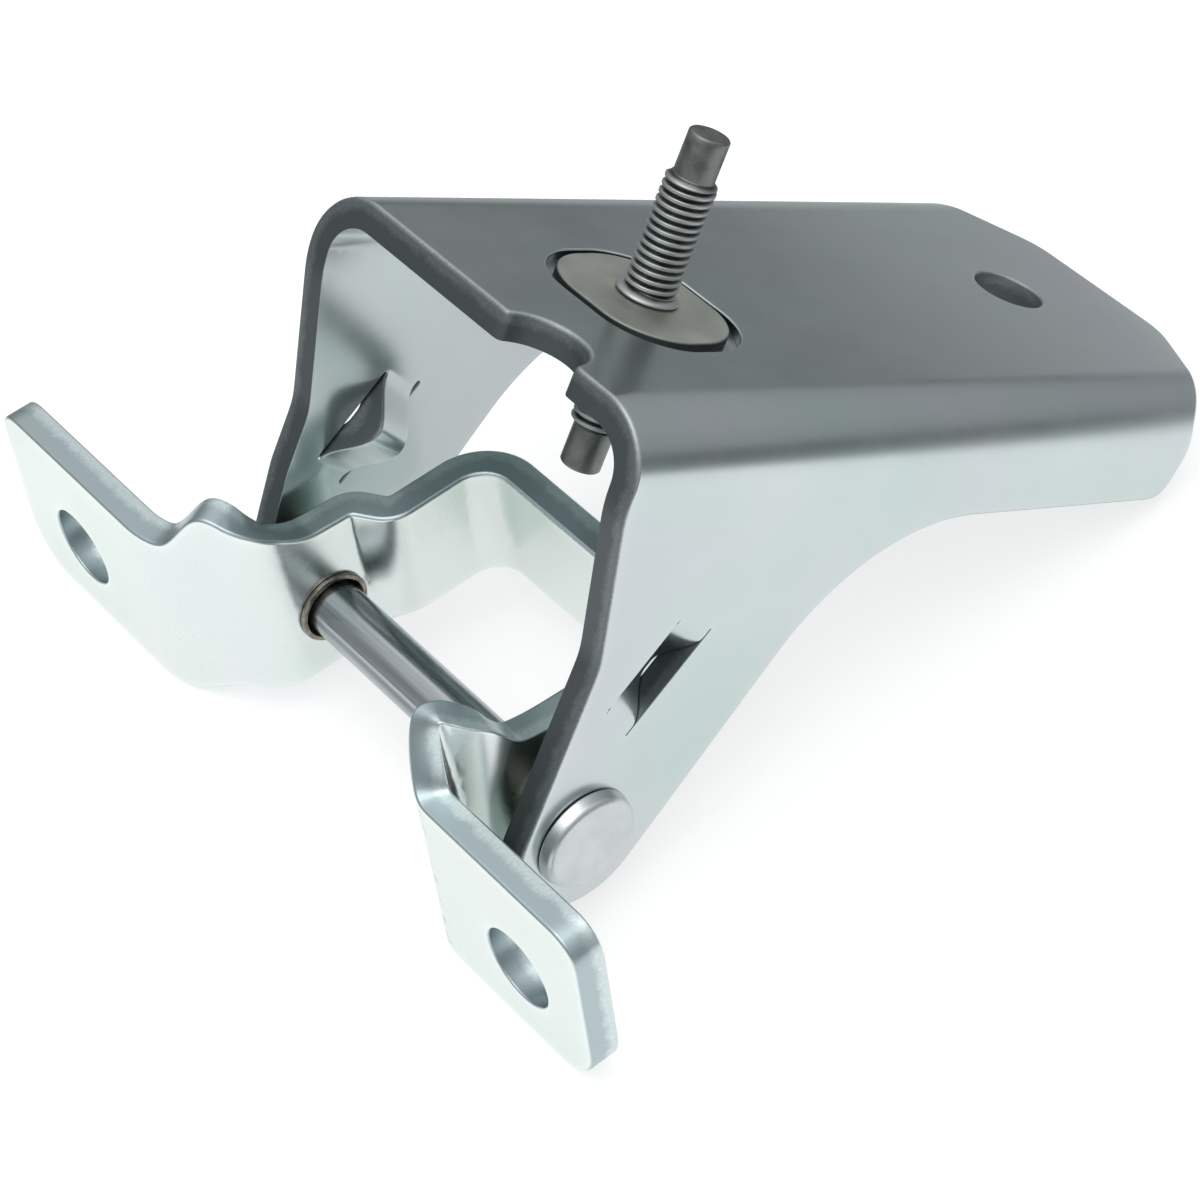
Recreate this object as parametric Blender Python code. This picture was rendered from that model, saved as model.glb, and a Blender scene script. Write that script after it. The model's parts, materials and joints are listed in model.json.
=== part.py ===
"""Car door hinge: a channel-shaped door leaf that turns on a riveted pin in a folded pillar strap.

World frame in metres: X towards the rear of the car, Y along the pin, Z up, and the origin on the
surface that the hinge stands on, under the middle of its box. The door leaf is drawn in its own
frame: x along the web, y along the pin, z out of the web, with the pin axis at x = z = 0.
"""
import math

import bmesh
import bpy
from mathutils import Matrix, Vector

MM = 0.001

# How far the door leaf is swung open as the hinge stands.
REST_SWING = math.radians(33.15)

# Door leaf: a channel pressed from plate.
LEAF_PLATE = 4.5 * MM
LEAF_WIDTH = 72.5 * MM
LEAF_BEND = 10.5 * MM
WEB_HEIGHT = 66.9 * MM
WEB_FRONT = -18.2 * MM
WEB_REAR = 118.8 * MM
WEB_END_FLAT = 28.6 * MM
WEB_END_RADIUS = 12.0 * MM
WEB_SHOULDER = 111.6 * MM
WEB_SHOULDER_HALF = 27.0 * MM
WEB_SHOULDER_RADIUS = 14.0 * MM
WEB_SHOULDER_STEP = 1.6 * MM
WEB_HIP = 106.4 * MM
CHEEK_REAR = 105.4 * MM
CHEEK_EDGE = 49.4 * MM
CHEEK_SWEEP_START = 55.0 * MM
CHEEK_SWEEP_RADIUS = 34.0 * MM
CHEEK_FRONT = -10.9 * MM
CHEEK_KINK = 29.5 * MM
CHEEK_KINK_RADIUS = 12.0 * MM
CHEEK_TAPER_TOP = 57.0 * MM
CHEEK_REAR_LEAN = math.radians(22.7)
CHEEK_END_LEAN = 1.5 * MM
CHEEK_END_RADIUS = 3.5 * MM
BOSS_RADIUS = 11.9 * MM
BOSS_DROP = 1.2 * MM
HIDDEN_LOBE_RADIUS = 8.5 * MM
HIDDEN_LOBE_END = math.radians(328)
HIDDEN_RELIEF_TOP = 19.0 * MM
NOTCH_RADIUS = 7.0 * MM
NOTCH_MIDDLE = -11.4 * MM
FAR_HOLE_PLACE = (94.7 * MM, -0.3 * MM)
FAR_HOLE_RADIUS = 5.65 * MM

# Stop strip lanced out of each cheek and pressed towards the inside.
STRIP_MIDDLE = (1.3 * MM, 27.2 * MM)
STRIP_LEAN = math.radians(26.7)
STRIP_LENGTH = 19.0 * MM
STRIP_WIDTH = 7.2 * MM
STRIP_DEPTH = 5.9 * MM
STRIP_CREST = 3.0 * MM
STRIP_ARCH = 14.6 * MM
STRIP_ROOT = 1.2 * MM
STRIP_STEPS = 20
STRIP_SKIN = 0.05 * MM
LANCE_GAP = 0.3 * MM

# Stud and the oval plate that it is pressed through.
STUD_PLACE = (12.5 * MM, -0.2 * MM)
STUD_RADIUS = 3.85 * MM
STUD_ABOVE = 25.5 * MM
STUD_BELOW = 28.2 * MM
DOG_RADIUS = 3.1 * MM
DOG_LENGTH = 6.6 * MM
DOG_CHAMFER = 0.7 * MM
COLLAR_RADIUS = 4.8 * MM
COLLAR_HEIGHT = 0.9 * MM
PLATE_LENGTH = 26.2 * MM
PLATE_WIDTH = 22.8 * MM
PLATE_CORNER = 10.2 * MM
PLATE_PLACE = (11.4 * MM, -0.7 * MM)
PLATE_THICKNESS = 1.5 * MM
POCKET_LENGTH = 29.3 * MM
POCKET_WIDTH = 24.9 * MM
POCKET_CORNER = 10.8 * MM
POCKET_PLACE = (10.7 * MM, -1.5 * MM)

# Pillar strap: one folded strip with a foot at each end.
STRAP_PLATE = 5.0 * MM
FOOT_FACE = -19.75 * MM
FOOT_TOP = 15.2 * MM
FOOT_BOTTOM = -17.5 * MM
LEFT_FOOT_END = 81.5 * MM
RIGHT_FOOT_END = -61.2 * MM
FOOT_CORNER_LOW = 8.5 * MM
FOOT_CORNER_HIGH = 5.0 * MM
ARM_GAP = 2.6 * MM
ARM_BOTTOM = -12.0 * MM
ARM_JOG = 5.75 * MM
REAR_BOTTOM = -5.8 * MM
JOG_FRONT = 7.6 * MM
JOG_REAR = 11.4 * MM
JOG_RADIUS = 3.6 * MM
RIGHT_JOG_SHIFT = 6.0 * MM
BRIDGE_MIDDLE = 29.7 * MM
BRIDGE_RADIUS = 7.5 * MM
LEFT_CROSS_GAP = 0.5 * MM
LEFT_CROSS_LEAN = math.radians(27.0)
LEFT_CROSS_RADIUS = 16.0 * MM
LEFT_ARM_RADIUS = 5.5 * MM
RIGHT_DRIFT_START = -7.2 * MM
RIGHT_DRIFT_LEAN = math.radians(28.0)
RIGHT_DRIFT_RADIUS = 8.0 * MM
RIGHT_FOOT_RADIUS = 3.2 * MM
LEFT_EAR_TOP = 24.0 * MM
LEFT_EAR_LEAD = 5.5 * MM
LEFT_EAR_FALL = 9.0 * MM
RIGHT_EAR_TOP = 26.0 * MM
RIGHT_EAR_FLANK = (5.9 * MM, 23.4 * MM)
RIGHT_EAR_TOE = (11.0 * MM, 18.2 * MM)
RIGHT_EAR_LEAD = -0.8 * MM
RIGHT_EAR_RISE = 18.0 * MM
RIGHT_EAR_FALL = 7.5 * MM
ARM_SWELL = 0.6 * MM
EDGE_LEAD = 1.0 * MM
EDGE_REACH = 3.0 * MM
EDGE_RUN = 7.0 * MM
STATION_SPACING = 2.0 * MM
STATION_LEAST = 0.12 * MM
HEADING_PROBE = 0.02 * MM
FOOT_HOLE_RADIUS = 6.6 * MM
FOOT_HOLE_HEIGHT = -3.9 * MM
LEFT_HOLE_PLACE = 64.6 * MM
RIGHT_HOLE_PLACE = -45.6 * MM

# Pin and bushes.
PIN_RADIUS = 4.5 * MM
PIN_HEAD_RADIUS = 7.5 * MM
PIN_HEAD_BASE = 8.2 * MM
PIN_HEAD_HEIGHT = 2.4 * MM
PIN_RIVET_RADIUS = 6.6 * MM
PIN_RIVET_HEIGHT = 1.8 * MM
BUSH_WALL = 0.75 * MM
BUSH_FLANGE_RADIUS = 6.8 * MM
BUSH_LIP_RADIUS = 5.95 * MM
BUSH_LIP_HEIGHT = 0.7 * MM
BUSH_FLARE = 0.6 * MM
EDGE_BREAK = 0.35 * MM

# Clearances.
RUNNING_GAP = 0.08 * MM
SEAT_GAP = 0.12 * MM
CUT_MARGIN = 3.0 * MM

# Facets on round shapes.
ROUND_STEPS = 48
BEND_STEPS = 7
FILLET_STEPS = 6

# Places that follow from the sizes above.
WEB_UNDERSIDE = WEB_HEIGHT - LEAF_PLATE
CHEEK_OUTSIDE = LEAF_WIDTH / 2
CHEEK_INSIDE = CHEEK_OUTSIDE - LEAF_PLATE
FOOT_MIDDLE = FOOT_FACE + STRAP_PLATE / 2
ARM_OUTSIDE = CHEEK_INSIDE - ARM_GAP
ARM_MIDDLE = ARM_OUTSIDE - STRAP_PLATE / 2
ARM_INSIDE = ARM_OUTSIDE - STRAP_PLATE
REAR_ARM_MIDDLE = ARM_MIDDLE - ARM_JOG
BUSH_BORE = PIN_RADIUS + RUNNING_GAP
BUSH_RADIUS = BUSH_BORE + BUSH_WALL
SEAT_HEIGHT = WEB_HEIGHT - PLATE_THICKNESS - SEAT_GAP
REAR_CORNER = WEB_REAR * math.cos(REST_SWING) + WEB_HEIGHT * math.sin(REST_SWING)
PIN_PLACE = Vector((
    -(FOOT_FACE + REAR_CORNER) / 2,
    -(LEFT_FOOT_END + RIGHT_FOOT_END) / 2,
    -FOOT_BOTTOM,
))


def clear_scene():
    for thing in list(bpy.data.objects):
        bpy.data.objects.remove(thing, do_unlink=True)


def make_material(name, colour, metallic, roughness):
    material = bpy.data.materials.new(name)
    material.use_nodes = True
    shader = material.node_tree.nodes["Principled BSDF"]
    shader.inputs["Base Color"].default_value = (*colour, 1.0)
    shader.inputs["Metallic"].default_value = metallic
    shader.inputs["Roughness"].default_value = roughness
    return material


def make_object(name, mesh, parent, material=None):
    thing = bpy.data.objects.new(name, mesh)
    bpy.context.scene.collection.objects.link(thing)
    thing.parent = parent
    if material:
        mesh.materials.append(material)
    return thing


def finish_mesh(name, shape):
    bmesh.ops.remove_doubles(shape, verts=shape.verts, dist=0.001 * MM)
    bmesh.ops.recalc_face_normals(shape, faces=shape.faces)
    mesh = bpy.data.meshes.new(name)
    shape.to_mesh(mesh)
    shape.free()
    mesh.shade_smooth()
    mesh.set_sharp_from_angle(angle=math.radians(30))
    return mesh


def fillet(before, corner, after, radius, steps=FILLET_STEPS):
    """Points of the arc that rounds one corner of a path in a plane."""
    before, corner, after = Vector(before), Vector(corner), Vector(after)
    if radius <= 0:
        return [corner]
    back = (before - corner).normalized()
    ahead = (after - corner).normalized()
    half = math.acos(max(-1.0, min(1.0, back.dot(ahead)))) / 2
    reach = radius / math.tan(half)
    centre = corner + (back + ahead).normalized() * (radius / math.sin(half))
    start = corner + back * reach - centre
    turn = start.angle_signed(corner + ahead * reach - centre)
    arc = []
    for step in range(steps + 1):
        angle = turn * step / steps
        arc.append(centre + Matrix.Rotation(-angle, 2) @ start)
    return arc


def rounded_outline(corners):
    """Closed outline from corners given as (u, v, radius)."""
    outline = []
    count = len(corners)
    for index, (u, v, radius) in enumerate(corners):
        before = corners[index - 1][:2]
        after = corners[(index + 1) % count][:2]
        outline.extend(fillet(before, (u, v), after, radius))
    return outline


def arc_points(centre, radius, start, end, steps):
    points = []
    for step in range(steps + 1):
        angle = start + (end - start) * step / steps
        points.append(Vector((centre[0] + radius * math.cos(angle), centre[1] + radius * math.sin(angle))))
    return points


def prism_mesh(name, outline, low, high, place):
    """Extrudes a closed outline. place(u, v, w) gives the point of the outline at depth w."""
    shape = bmesh.new()
    bottom = [shape.verts.new(place(point[0], point[1], low)) for point in outline]
    top = [shape.verts.new(place(point[0], point[1], high)) for point in outline]
    shape.faces.new(bottom)
    shape.faces.new(reversed(top))
    count = len(outline)
    for index in range(count):
        following = (index + 1) % count
        shape.faces.new((bottom[index], top[index], top[following], bottom[following]))
    return finish_mesh(name, shape)


def along_x(u, v, w):
    return (w, u, v)


def along_y(u, v, w):
    return (u, w, v)


def along_z(u, v, w):
    return (u, v, w)


def turned_mesh(name, profile, place, steps=ROUND_STEPS):
    """Turns a profile of (radius, height) points, which starts and ends on the axis or closes on itself."""
    shape = bmesh.new()
    rings = []
    for radius, height in profile:
        if radius < 0.001 * MM:
            rings.append([shape.verts.new(place(0.0, 0.0, height))] * steps)
            continue
        ring = []
        for step in range(steps):
            angle = math.tau * (step + 0.5) / steps
            ring.append(shape.verts.new(place(radius * math.cos(angle), radius * math.sin(angle), height)))
        rings.append(ring)
    closed = profile[0][0] > 0.001 * MM
    pairs = list(zip(rings, rings[1:]))
    if closed:
        pairs.append((rings[-1], rings[0]))
    for lower, upper in pairs:
        for step in range(steps):
            following = (step + 1) % steps
            corners = []
            for vert in (lower[step], lower[following], upper[following], upper[step]):
                if vert not in corners:
                    corners.append(vert)
            shape.faces.new(corners)
    return finish_mesh(name, shape)


def boolean(target, tool, operation):
    tool.hide_render = True
    tool.display_type = 'WIRE'
    change = target.modifiers.new(tool.name, 'BOOLEAN')
    change.operation = operation
    change.solver = 'EXACT'
    change.object = tool


def cylinder_tool(name, parent, radius, low, high, place):
    profile = [(0.0, low), (radius, low), (radius, high), (0.0, high)]
    return make_object(name, turned_mesh(name, profile, place), parent)


# Door leaf

def channel_section():
    """Cross-section of the channel as (y, z), with bent shoulders and open below."""
    foot = -2 * BOSS_RADIUS
    outer = CHEEK_OUTSIDE
    inner = CHEEK_INSIDE
    inner_bend = LEAF_BEND - LEAF_PLATE
    section = [Vector((-outer, foot))]
    section += fillet((-outer, foot), (-outer, WEB_HEIGHT), (outer, WEB_HEIGHT), LEAF_BEND, BEND_STEPS)
    section += fillet((-outer, WEB_HEIGHT), (outer, WEB_HEIGHT), (outer, foot), LEAF_BEND, BEND_STEPS)
    section += [Vector((outer, foot)), Vector((inner, foot))]
    section += fillet((inner, foot), (inner, WEB_UNDERSIDE), (-inner, WEB_UNDERSIDE), inner_bend, BEND_STEPS)
    section += fillet((inner, WEB_UNDERSIDE), (-inner, WEB_UNDERSIDE), (-inner, foot), inner_bend, BEND_STEPS)
    section += [Vector((-inner, foot))]
    return section


def cheek_outline():
    """Side view of the leaf as (x, z): tapered front edge, boss round the pin, swept lower edge."""
    above = WEB_HEIGHT + CUT_MARGIN
    lean = Vector((math.sin(CHEEK_REAR_LEAN), math.cos(CHEEK_REAR_LEAN)))
    away = Vector((lean.y, -lean.x))
    boss_centre = Vector((CHEEK_FRONT + BOSS_RADIUS, -BOSS_DROP))
    tangent = boss_centre + away * BOSS_RADIUS
    rise = (CHEEK_EDGE - tangent.y) / lean.y
    sweep_corner = tangent + lean * rise
    outline = [
        Vector((WEB_FRONT, above)),
        Vector((WEB_FRONT, CHEEK_TAPER_TOP)),
    ]
    outline += fillet((WEB_FRONT, CHEEK_TAPER_TOP), (CHEEK_FRONT, CHEEK_KINK), (CHEEK_FRONT, 0.0),
                      CHEEK_KINK_RADIUS)
    outline += arc_points(boss_centre, BOSS_RADIUS, math.pi, math.tau - CHEEK_REAR_LEAN, 18)
    sweep = fillet(tangent, sweep_corner, (CHEEK_REAR, CHEEK_EDGE), CHEEK_SWEEP_RADIUS, 12)
    outline += sweep
    outline += fillet((CHEEK_SWEEP_START, CHEEK_EDGE), (CHEEK_REAR - CHEEK_END_LEAN, CHEEK_EDGE),
                      (CHEEK_REAR, WEB_HEIGHT - LEAF_BEND), CHEEK_END_RADIUS)
    outline += [
        Vector((CHEEK_REAR, WEB_HEIGHT - LEAF_BEND)),
        Vector((CHEEK_REAR + CUT_MARGIN, WEB_UNDERSIDE - CUT_MARGIN)),
        Vector((WEB_REAR + CUT_MARGIN, WEB_UNDERSIDE - CUT_MARGIN)),
        Vector((WEB_REAR + CUT_MARGIN, above)),
    ]
    return outline


def web_outline():
    """Plan of the leaf as (x, y), with the chamfered and rounded rear end."""
    front = WEB_FRONT - CUT_MARGIN
    side = CHEEK_OUTSIDE + CUT_MARGIN
    end = WEB_END_FLAT / 2
    return rounded_outline([
        (front, -side, 0.0),
        (WEB_HIP, -side, 0.0),
        (WEB_HIP, -CHEEK_OUTSIDE + WEB_SHOULDER_STEP, 0.0),
        (WEB_SHOULDER, -WEB_SHOULDER_HALF, WEB_SHOULDER_RADIUS),
        (WEB_REAR, -end, WEB_END_RADIUS),
        (WEB_REAR, end, WEB_END_RADIUS),
        (WEB_SHOULDER, WEB_SHOULDER_HALF, WEB_SHOULDER_RADIUS),
        (WEB_HIP, CHEEK_OUTSIDE - WEB_SHOULDER_STEP, 0.0),
        (WEB_HIP, side, 0.0),
        (front, side, 0.0),
    ])


def hidden_relief_outline():
    """What is trimmed off the far cheek so that it passes the strap where that crosses to its foot."""
    corner = Vector((CHEEK_FRONT - STRIP_SKIN, HIDDEN_RELIEF_TOP))
    reach = corner.length
    start = math.atan2(corner.y, corner.x) + math.acos(HIDDEN_LOBE_RADIUS / reach)
    end = HIDDEN_LOBE_END
    outer = 2.4 * BOSS_RADIUS
    outline = [Vector((-outer, HIDDEN_RELIEF_TOP)), corner]
    outline += arc_points((0.0, 0.0), HIDDEN_LOBE_RADIUS, start, end, 14)
    outline += [Vector((outer * math.cos(end), -outer)), Vector((-outer, -outer))]
    return outline


def strip_frame(sign):
    """Maps (along the strip, across it, depth inwards from the outside) to the leaf's frame."""
    lean = Vector((math.sin(STRIP_LEAN), 0.0, math.cos(STRIP_LEAN)))
    across = Vector((math.cos(STRIP_LEAN), 0.0, -math.sin(STRIP_LEAN)))
    middle = Vector((STRIP_MIDDLE[0], sign * CHEEK_OUTSIDE, STRIP_MIDDLE[1]))
    inwards = Vector((0.0, -sign, 0.0))

    def place(u, v, w):
        return middle + lean * u + across * w + inwards * v

    return place


def strip_outline():
    """Side view of the pressed strip as (along, depth): a smooth arch between two flat roots."""
    root = STRIP_LENGTH / 2 + STRIP_ROOT
    rise = [(STRIP_CREST / 2, STRIP_DEPTH), (STRIP_ARCH / 2, 0.0)]
    stations = [-root]
    for step in range(STRIP_STEPS + 1):
        stations.append(STRIP_ARCH * (step / STRIP_STEPS - 0.5))
    stations.append(root)
    outside = [Vector((u, STRIP_SKIN + fair(rise, abs(u)))) for u in stations]
    inside = [Vector((u, LEAF_PLATE - STRIP_SKIN + fair(rise, abs(u)))) for u in stations]
    return outside + inside[::-1]


def add_stop_strip(leaf, axis, side, sign):
    place = strip_frame(sign)
    half = STRIP_LENGTH / 2
    reach = STRIP_WIDTH / 2 + LANCE_GAP
    near, far = -CUT_MARGIN, LEAF_PLATE + CUT_MARGIN
    window = [(-half, near), (half, near), (half, far), (-half, far)]
    window_mesh = prism_mesh(side + "_lance_window", window, -reach, reach, place)
    boolean(leaf, make_object(side + "_lance_window", window_mesh, axis), 'DIFFERENCE')
    strip_mesh = prism_mesh(side + "_stop_strip", strip_outline(), -STRIP_WIDTH / 2, STRIP_WIDTH / 2, place)
    boolean(leaf, make_object(side + "_stop_strip", strip_mesh, axis), 'UNION')


def oval_outline(place, length, width, corner):
    x, y = place
    return rounded_outline([
        (x - width / 2, y - length / 2, corner),
        (x + width / 2, y - length / 2, corner),
        (x + width / 2, y + length / 2, corner),
        (x - width / 2, y + length / 2, corner),
    ])


def build_door_leaf(axis):
    zinc = make_material("door_leaf_zinc", (0.52, 0.56, 0.57), 1.0, 0.34)
    reach = WEB_REAR + CUT_MARGIN
    leaf = make_object("door_leaf", prism_mesh("door_leaf", channel_section(), WEB_FRONT, reach, along_x),
                       axis, zinc)
    side_view = prism_mesh("leaf_side_view", cheek_outline(), -LEAF_WIDTH, LEAF_WIDTH, along_y)
    boolean(leaf, make_object("leaf_side_view", side_view, axis), 'INTERSECT')
    plan = prism_mesh("leaf_plan", web_outline(), -LEAF_WIDTH, WEB_HEIGHT + CUT_MARGIN, along_z)
    boolean(leaf, make_object("leaf_plan", plan, axis), 'INTERSECT')

    def notch_place(u, v, w):
        return (WEB_FRONT + u, NOTCH_MIDDLE + v, w)

    notch = cylinder_tool("web_notch", axis, NOTCH_RADIUS, WEB_UNDERSIDE - CUT_MARGIN,
                          WEB_HEIGHT + CUT_MARGIN, notch_place)
    boolean(leaf, notch, 'DIFFERENCE')

    def far_place(u, v, w):
        return (FAR_HOLE_PLACE[0] + u, FAR_HOLE_PLACE[1] + v, w)

    far_hole = cylinder_tool("far_bolt_hole", axis, FAR_HOLE_RADIUS, WEB_UNDERSIDE - CUT_MARGIN,
                             WEB_HEIGHT + CUT_MARGIN, far_place)
    boolean(leaf, far_hole, 'DIFFERENCE')

    pocket = oval_outline(POCKET_PLACE, POCKET_LENGTH, POCKET_WIDTH, POCKET_CORNER)
    pocket_mesh = prism_mesh("plate_pocket", pocket, SEAT_HEIGHT - SEAT_GAP, WEB_HEIGHT + CUT_MARGIN, along_z)
    boolean(leaf, make_object("plate_pocket", pocket_mesh, axis), 'DIFFERENCE')

    def stud_place(u, v, w):
        return (STUD_PLACE[0] + u, STUD_PLACE[1] + v, w)

    stud_hole = cylinder_tool("stud_hole", axis, STUD_RADIUS + SEAT_GAP, WEB_UNDERSIDE - CUT_MARGIN,
                              WEB_HEIGHT + CUT_MARGIN, stud_place)
    boolean(leaf, stud_hole, 'DIFFERENCE')

    pin_hole = cylinder_tool("pin_hole", axis, PIN_RADIUS + SEAT_GAP, -LEAF_WIDTH, LEAF_WIDTH, along_y)
    boolean(leaf, pin_hole, 'DIFFERENCE')

    relief_mesh = prism_mesh("far_cheek_relief", hidden_relief_outline(), CHEEK_INSIDE - CUT_MARGIN / 2,
                             CHEEK_OUTSIDE + CUT_MARGIN, along_y)
    boolean(leaf, make_object("far_cheek_relief", relief_mesh, axis), 'DIFFERENCE')

    add_stop_strip(leaf, axis, "right", -1)
    add_stop_strip(leaf, axis, "left", 1)
    return leaf


# Pillar strap

def left_cross_corner():
    """Where the strap leaves the left arm, so that the fold clears the far cheek's lobe."""
    ahead = Vector((math.sin(LEFT_CROSS_LEAN), -math.cos(LEFT_CROSS_LEAN)))
    rearwards = Vector((-ahead.y, ahead.x))
    back_point = Vector((-HIDDEN_LOBE_RADIUS - LEFT_CROSS_GAP, CHEEK_INSIDE))
    middle_point = back_point - rearwards * STRAP_PLATE / 2
    run = (middle_point.y - ARM_MIDDLE) / -ahead.y
    arm_corner = middle_point + ahead * run
    foot_run = (FOOT_MIDDLE - arm_corner.x) / ahead.x
    foot_corner = arm_corner + ahead * foot_run
    return arm_corner, foot_corner


def strap_path():
    """Corners of the strap's centre line in plan, as (x, y, bend radius, name)."""
    arm_corner, foot_corner = left_cross_corner()
    drift = (RIGHT_DRIFT_START - FOOT_MIDDLE) * math.tan(RIGHT_DRIFT_LEAN)
    return [
        (FOOT_MIDDLE, LEFT_FOOT_END, 0.0, "left_end"),
        (foot_corner.x, foot_corner.y, LEFT_CROSS_RADIUS, "left_foot"),
        (arm_corner.x, arm_corner.y, LEFT_ARM_RADIUS, "left_arm"),
        (JOG_FRONT, ARM_MIDDLE, JOG_RADIUS, "left_jog"),
        (JOG_REAR, REAR_ARM_MIDDLE, JOG_RADIUS, "left_rear"),
        (BRIDGE_MIDDLE, REAR_ARM_MIDDLE, BRIDGE_RADIUS, "left_bridge"),
        (BRIDGE_MIDDLE, -REAR_ARM_MIDDLE, BRIDGE_RADIUS, "right_bridge"),
        (JOG_REAR + RIGHT_JOG_SHIFT, -REAR_ARM_MIDDLE, JOG_RADIUS, "right_rear"),
        (JOG_FRONT + RIGHT_JOG_SHIFT, -ARM_MIDDLE, JOG_RADIUS, "right_jog"),
        (RIGHT_DRIFT_START, -ARM_MIDDLE, RIGHT_DRIFT_RADIUS, "right_arm"),
        (FOOT_MIDDLE, -ARM_MIDDLE + drift, RIGHT_FOOT_RADIUS, "right_foot"),
        (FOOT_MIDDLE, RIGHT_FOOT_END, 0.0, "right_end"),
    ]


def lay_out(path):
    """Follows the centre line. Gives the joined points and how far along it each named corner lies."""
    points = []
    corner_index = {}
    for index, (x, y, radius, name) in enumerate(path):
        if radius <= 0:
            corner_index[name] = len(points)
            points.append(Vector((x, y)))
            continue
        arc = fillet(path[index - 1][:2], (x, y), path[index + 1][:2], radius, BEND_STEPS)
        corner_index[name] = len(points) + BEND_STEPS // 2
        points += arc
    lengths = [0.0]
    for previous, point in zip(points, points[1:]):
        lengths.append(lengths[-1] + (point - previous).length)
    corners = {name: lengths[index] for name, index in corner_index.items()}
    return points, lengths, corners


def at_length(points, lengths, distance):
    """Point and heading at one distance along the centre line."""
    for index in range(len(points) - 1):
        if distance <= lengths[index + 1] or index == len(points) - 2:
            span = lengths[index + 1] - lengths[index]
            share = (distance - lengths[index]) / span
            return points[index].lerp(points[index + 1], share)


def fair(controls, distance):
    """Height read from a smooth curve through (distance, height) pairs, level at its peaks and ends."""
    if distance <= controls[0][0]:
        return controls[0][1]
    if distance >= controls[-1][0]:
        return controls[-1][1]
    secants = []
    for (start, low), (end, high) in zip(controls, controls[1:]):
        secants.append((high - low) / (end - start))
    slopes = [0.0]
    for before, after in zip(secants, secants[1:]):
        slopes.append(2 * before * after / (before + after) if before * after > 0 else 0.0)
    slopes.append(0.0)
    for index, ((start, low), (end, high)) in enumerate(zip(controls, controls[1:])):
        if distance <= end:
            span = end - start
            share = (distance - start) / span
            rest = 1 - share
            rise = share * share * (3 - 2 * share)
            lead = share * rest * (rest * slopes[index] - share * slopes[index + 1]) * span
            return low + (high - low) * rise + lead


def foot_end_trim(distance, total, radius):
    """How much a rounded foot corner takes off the edge at this distance."""
    from_end = min(distance, total - distance)
    if from_end >= radius:
        return 0.0
    return radius - math.sqrt(max(0.0, radius ** 2 - (radius - from_end) ** 2))


def edge_heights(corners, total):
    """Top and bottom edge of the strap as smooth curves along it."""
    bridge = (corners["left_bridge"] + corners["right_bridge"]) / 2
    left_ear = corners["left_arm"] - LEFT_EAR_LEAD
    right_ear = corners["right_foot"] - RIGHT_EAR_LEAD
    top = [
        (corners["left_foot"] - EDGE_LEAD, FOOT_TOP),
        (left_ear, LEFT_EAR_TOP),
        (corners["left_arm"] + LEFT_EAR_FALL, FOOT_TOP + ARM_SWELL),
        (corners["left_rear"], FOOT_TOP),
        (bridge, FOOT_TOP),
        (corners["right_rear"], FOOT_TOP),
        (right_ear - RIGHT_EAR_RISE, FOOT_TOP + ARM_SWELL),
        (right_ear - RIGHT_EAR_TOE[0], RIGHT_EAR_TOE[1]),
        (right_ear - RIGHT_EAR_FLANK[0], RIGHT_EAR_FLANK[1]),
        (right_ear, RIGHT_EAR_TOP),
        (right_ear + RIGHT_EAR_FALL, FOOT_TOP),
    ]
    bottom = [
        (corners["left_foot"] + EDGE_LEAD, FOOT_BOTTOM),
        (corners["left_arm"] - EDGE_REACH, ARM_BOTTOM - ARM_SWELL),
        (corners["left_arm"] + EDGE_RUN, ARM_BOTTOM),
        (corners["left_jog"] - EDGE_LEAD, ARM_BOTTOM),
        (corners["left_rear"] + EDGE_LEAD, REAR_BOTTOM),
        (bridge, REAR_BOTTOM),
        (corners["right_rear"] - EDGE_LEAD, REAR_BOTTOM),
        (corners["right_jog"] + EDGE_LEAD, ARM_BOTTOM),
        (corners["right_arm"] - EDGE_REACH, ARM_BOTTOM),
        (corners["right_foot"] + EDGE_REACH, FOOT_BOTTOM),
    ]
    return top, bottom


def stations_along(lengths, total):
    """Distances at which the strap is cut into facets: every bend, and closely where its edges curve."""
    stations = set(lengths)
    steps = int(total / STATION_SPACING)
    for step in range(1, steps):
        stations.add(total * step / steps)
    corner_steps = 8
    for radius in (FOOT_CORNER_LOW, FOOT_CORNER_HIGH):
        for step in range(corner_steps + 1):
            reach = radius * (1 - math.cos(math.pi / 2 * step / corner_steps))
            stations.add(reach)
            stations.add(total - reach)
    ordered = []
    for distance in sorted(stations):
        if not ordered or distance - ordered[-1] > STATION_LEAST:
            ordered.append(distance)
    ordered[-1] = total
    return ordered


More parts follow.
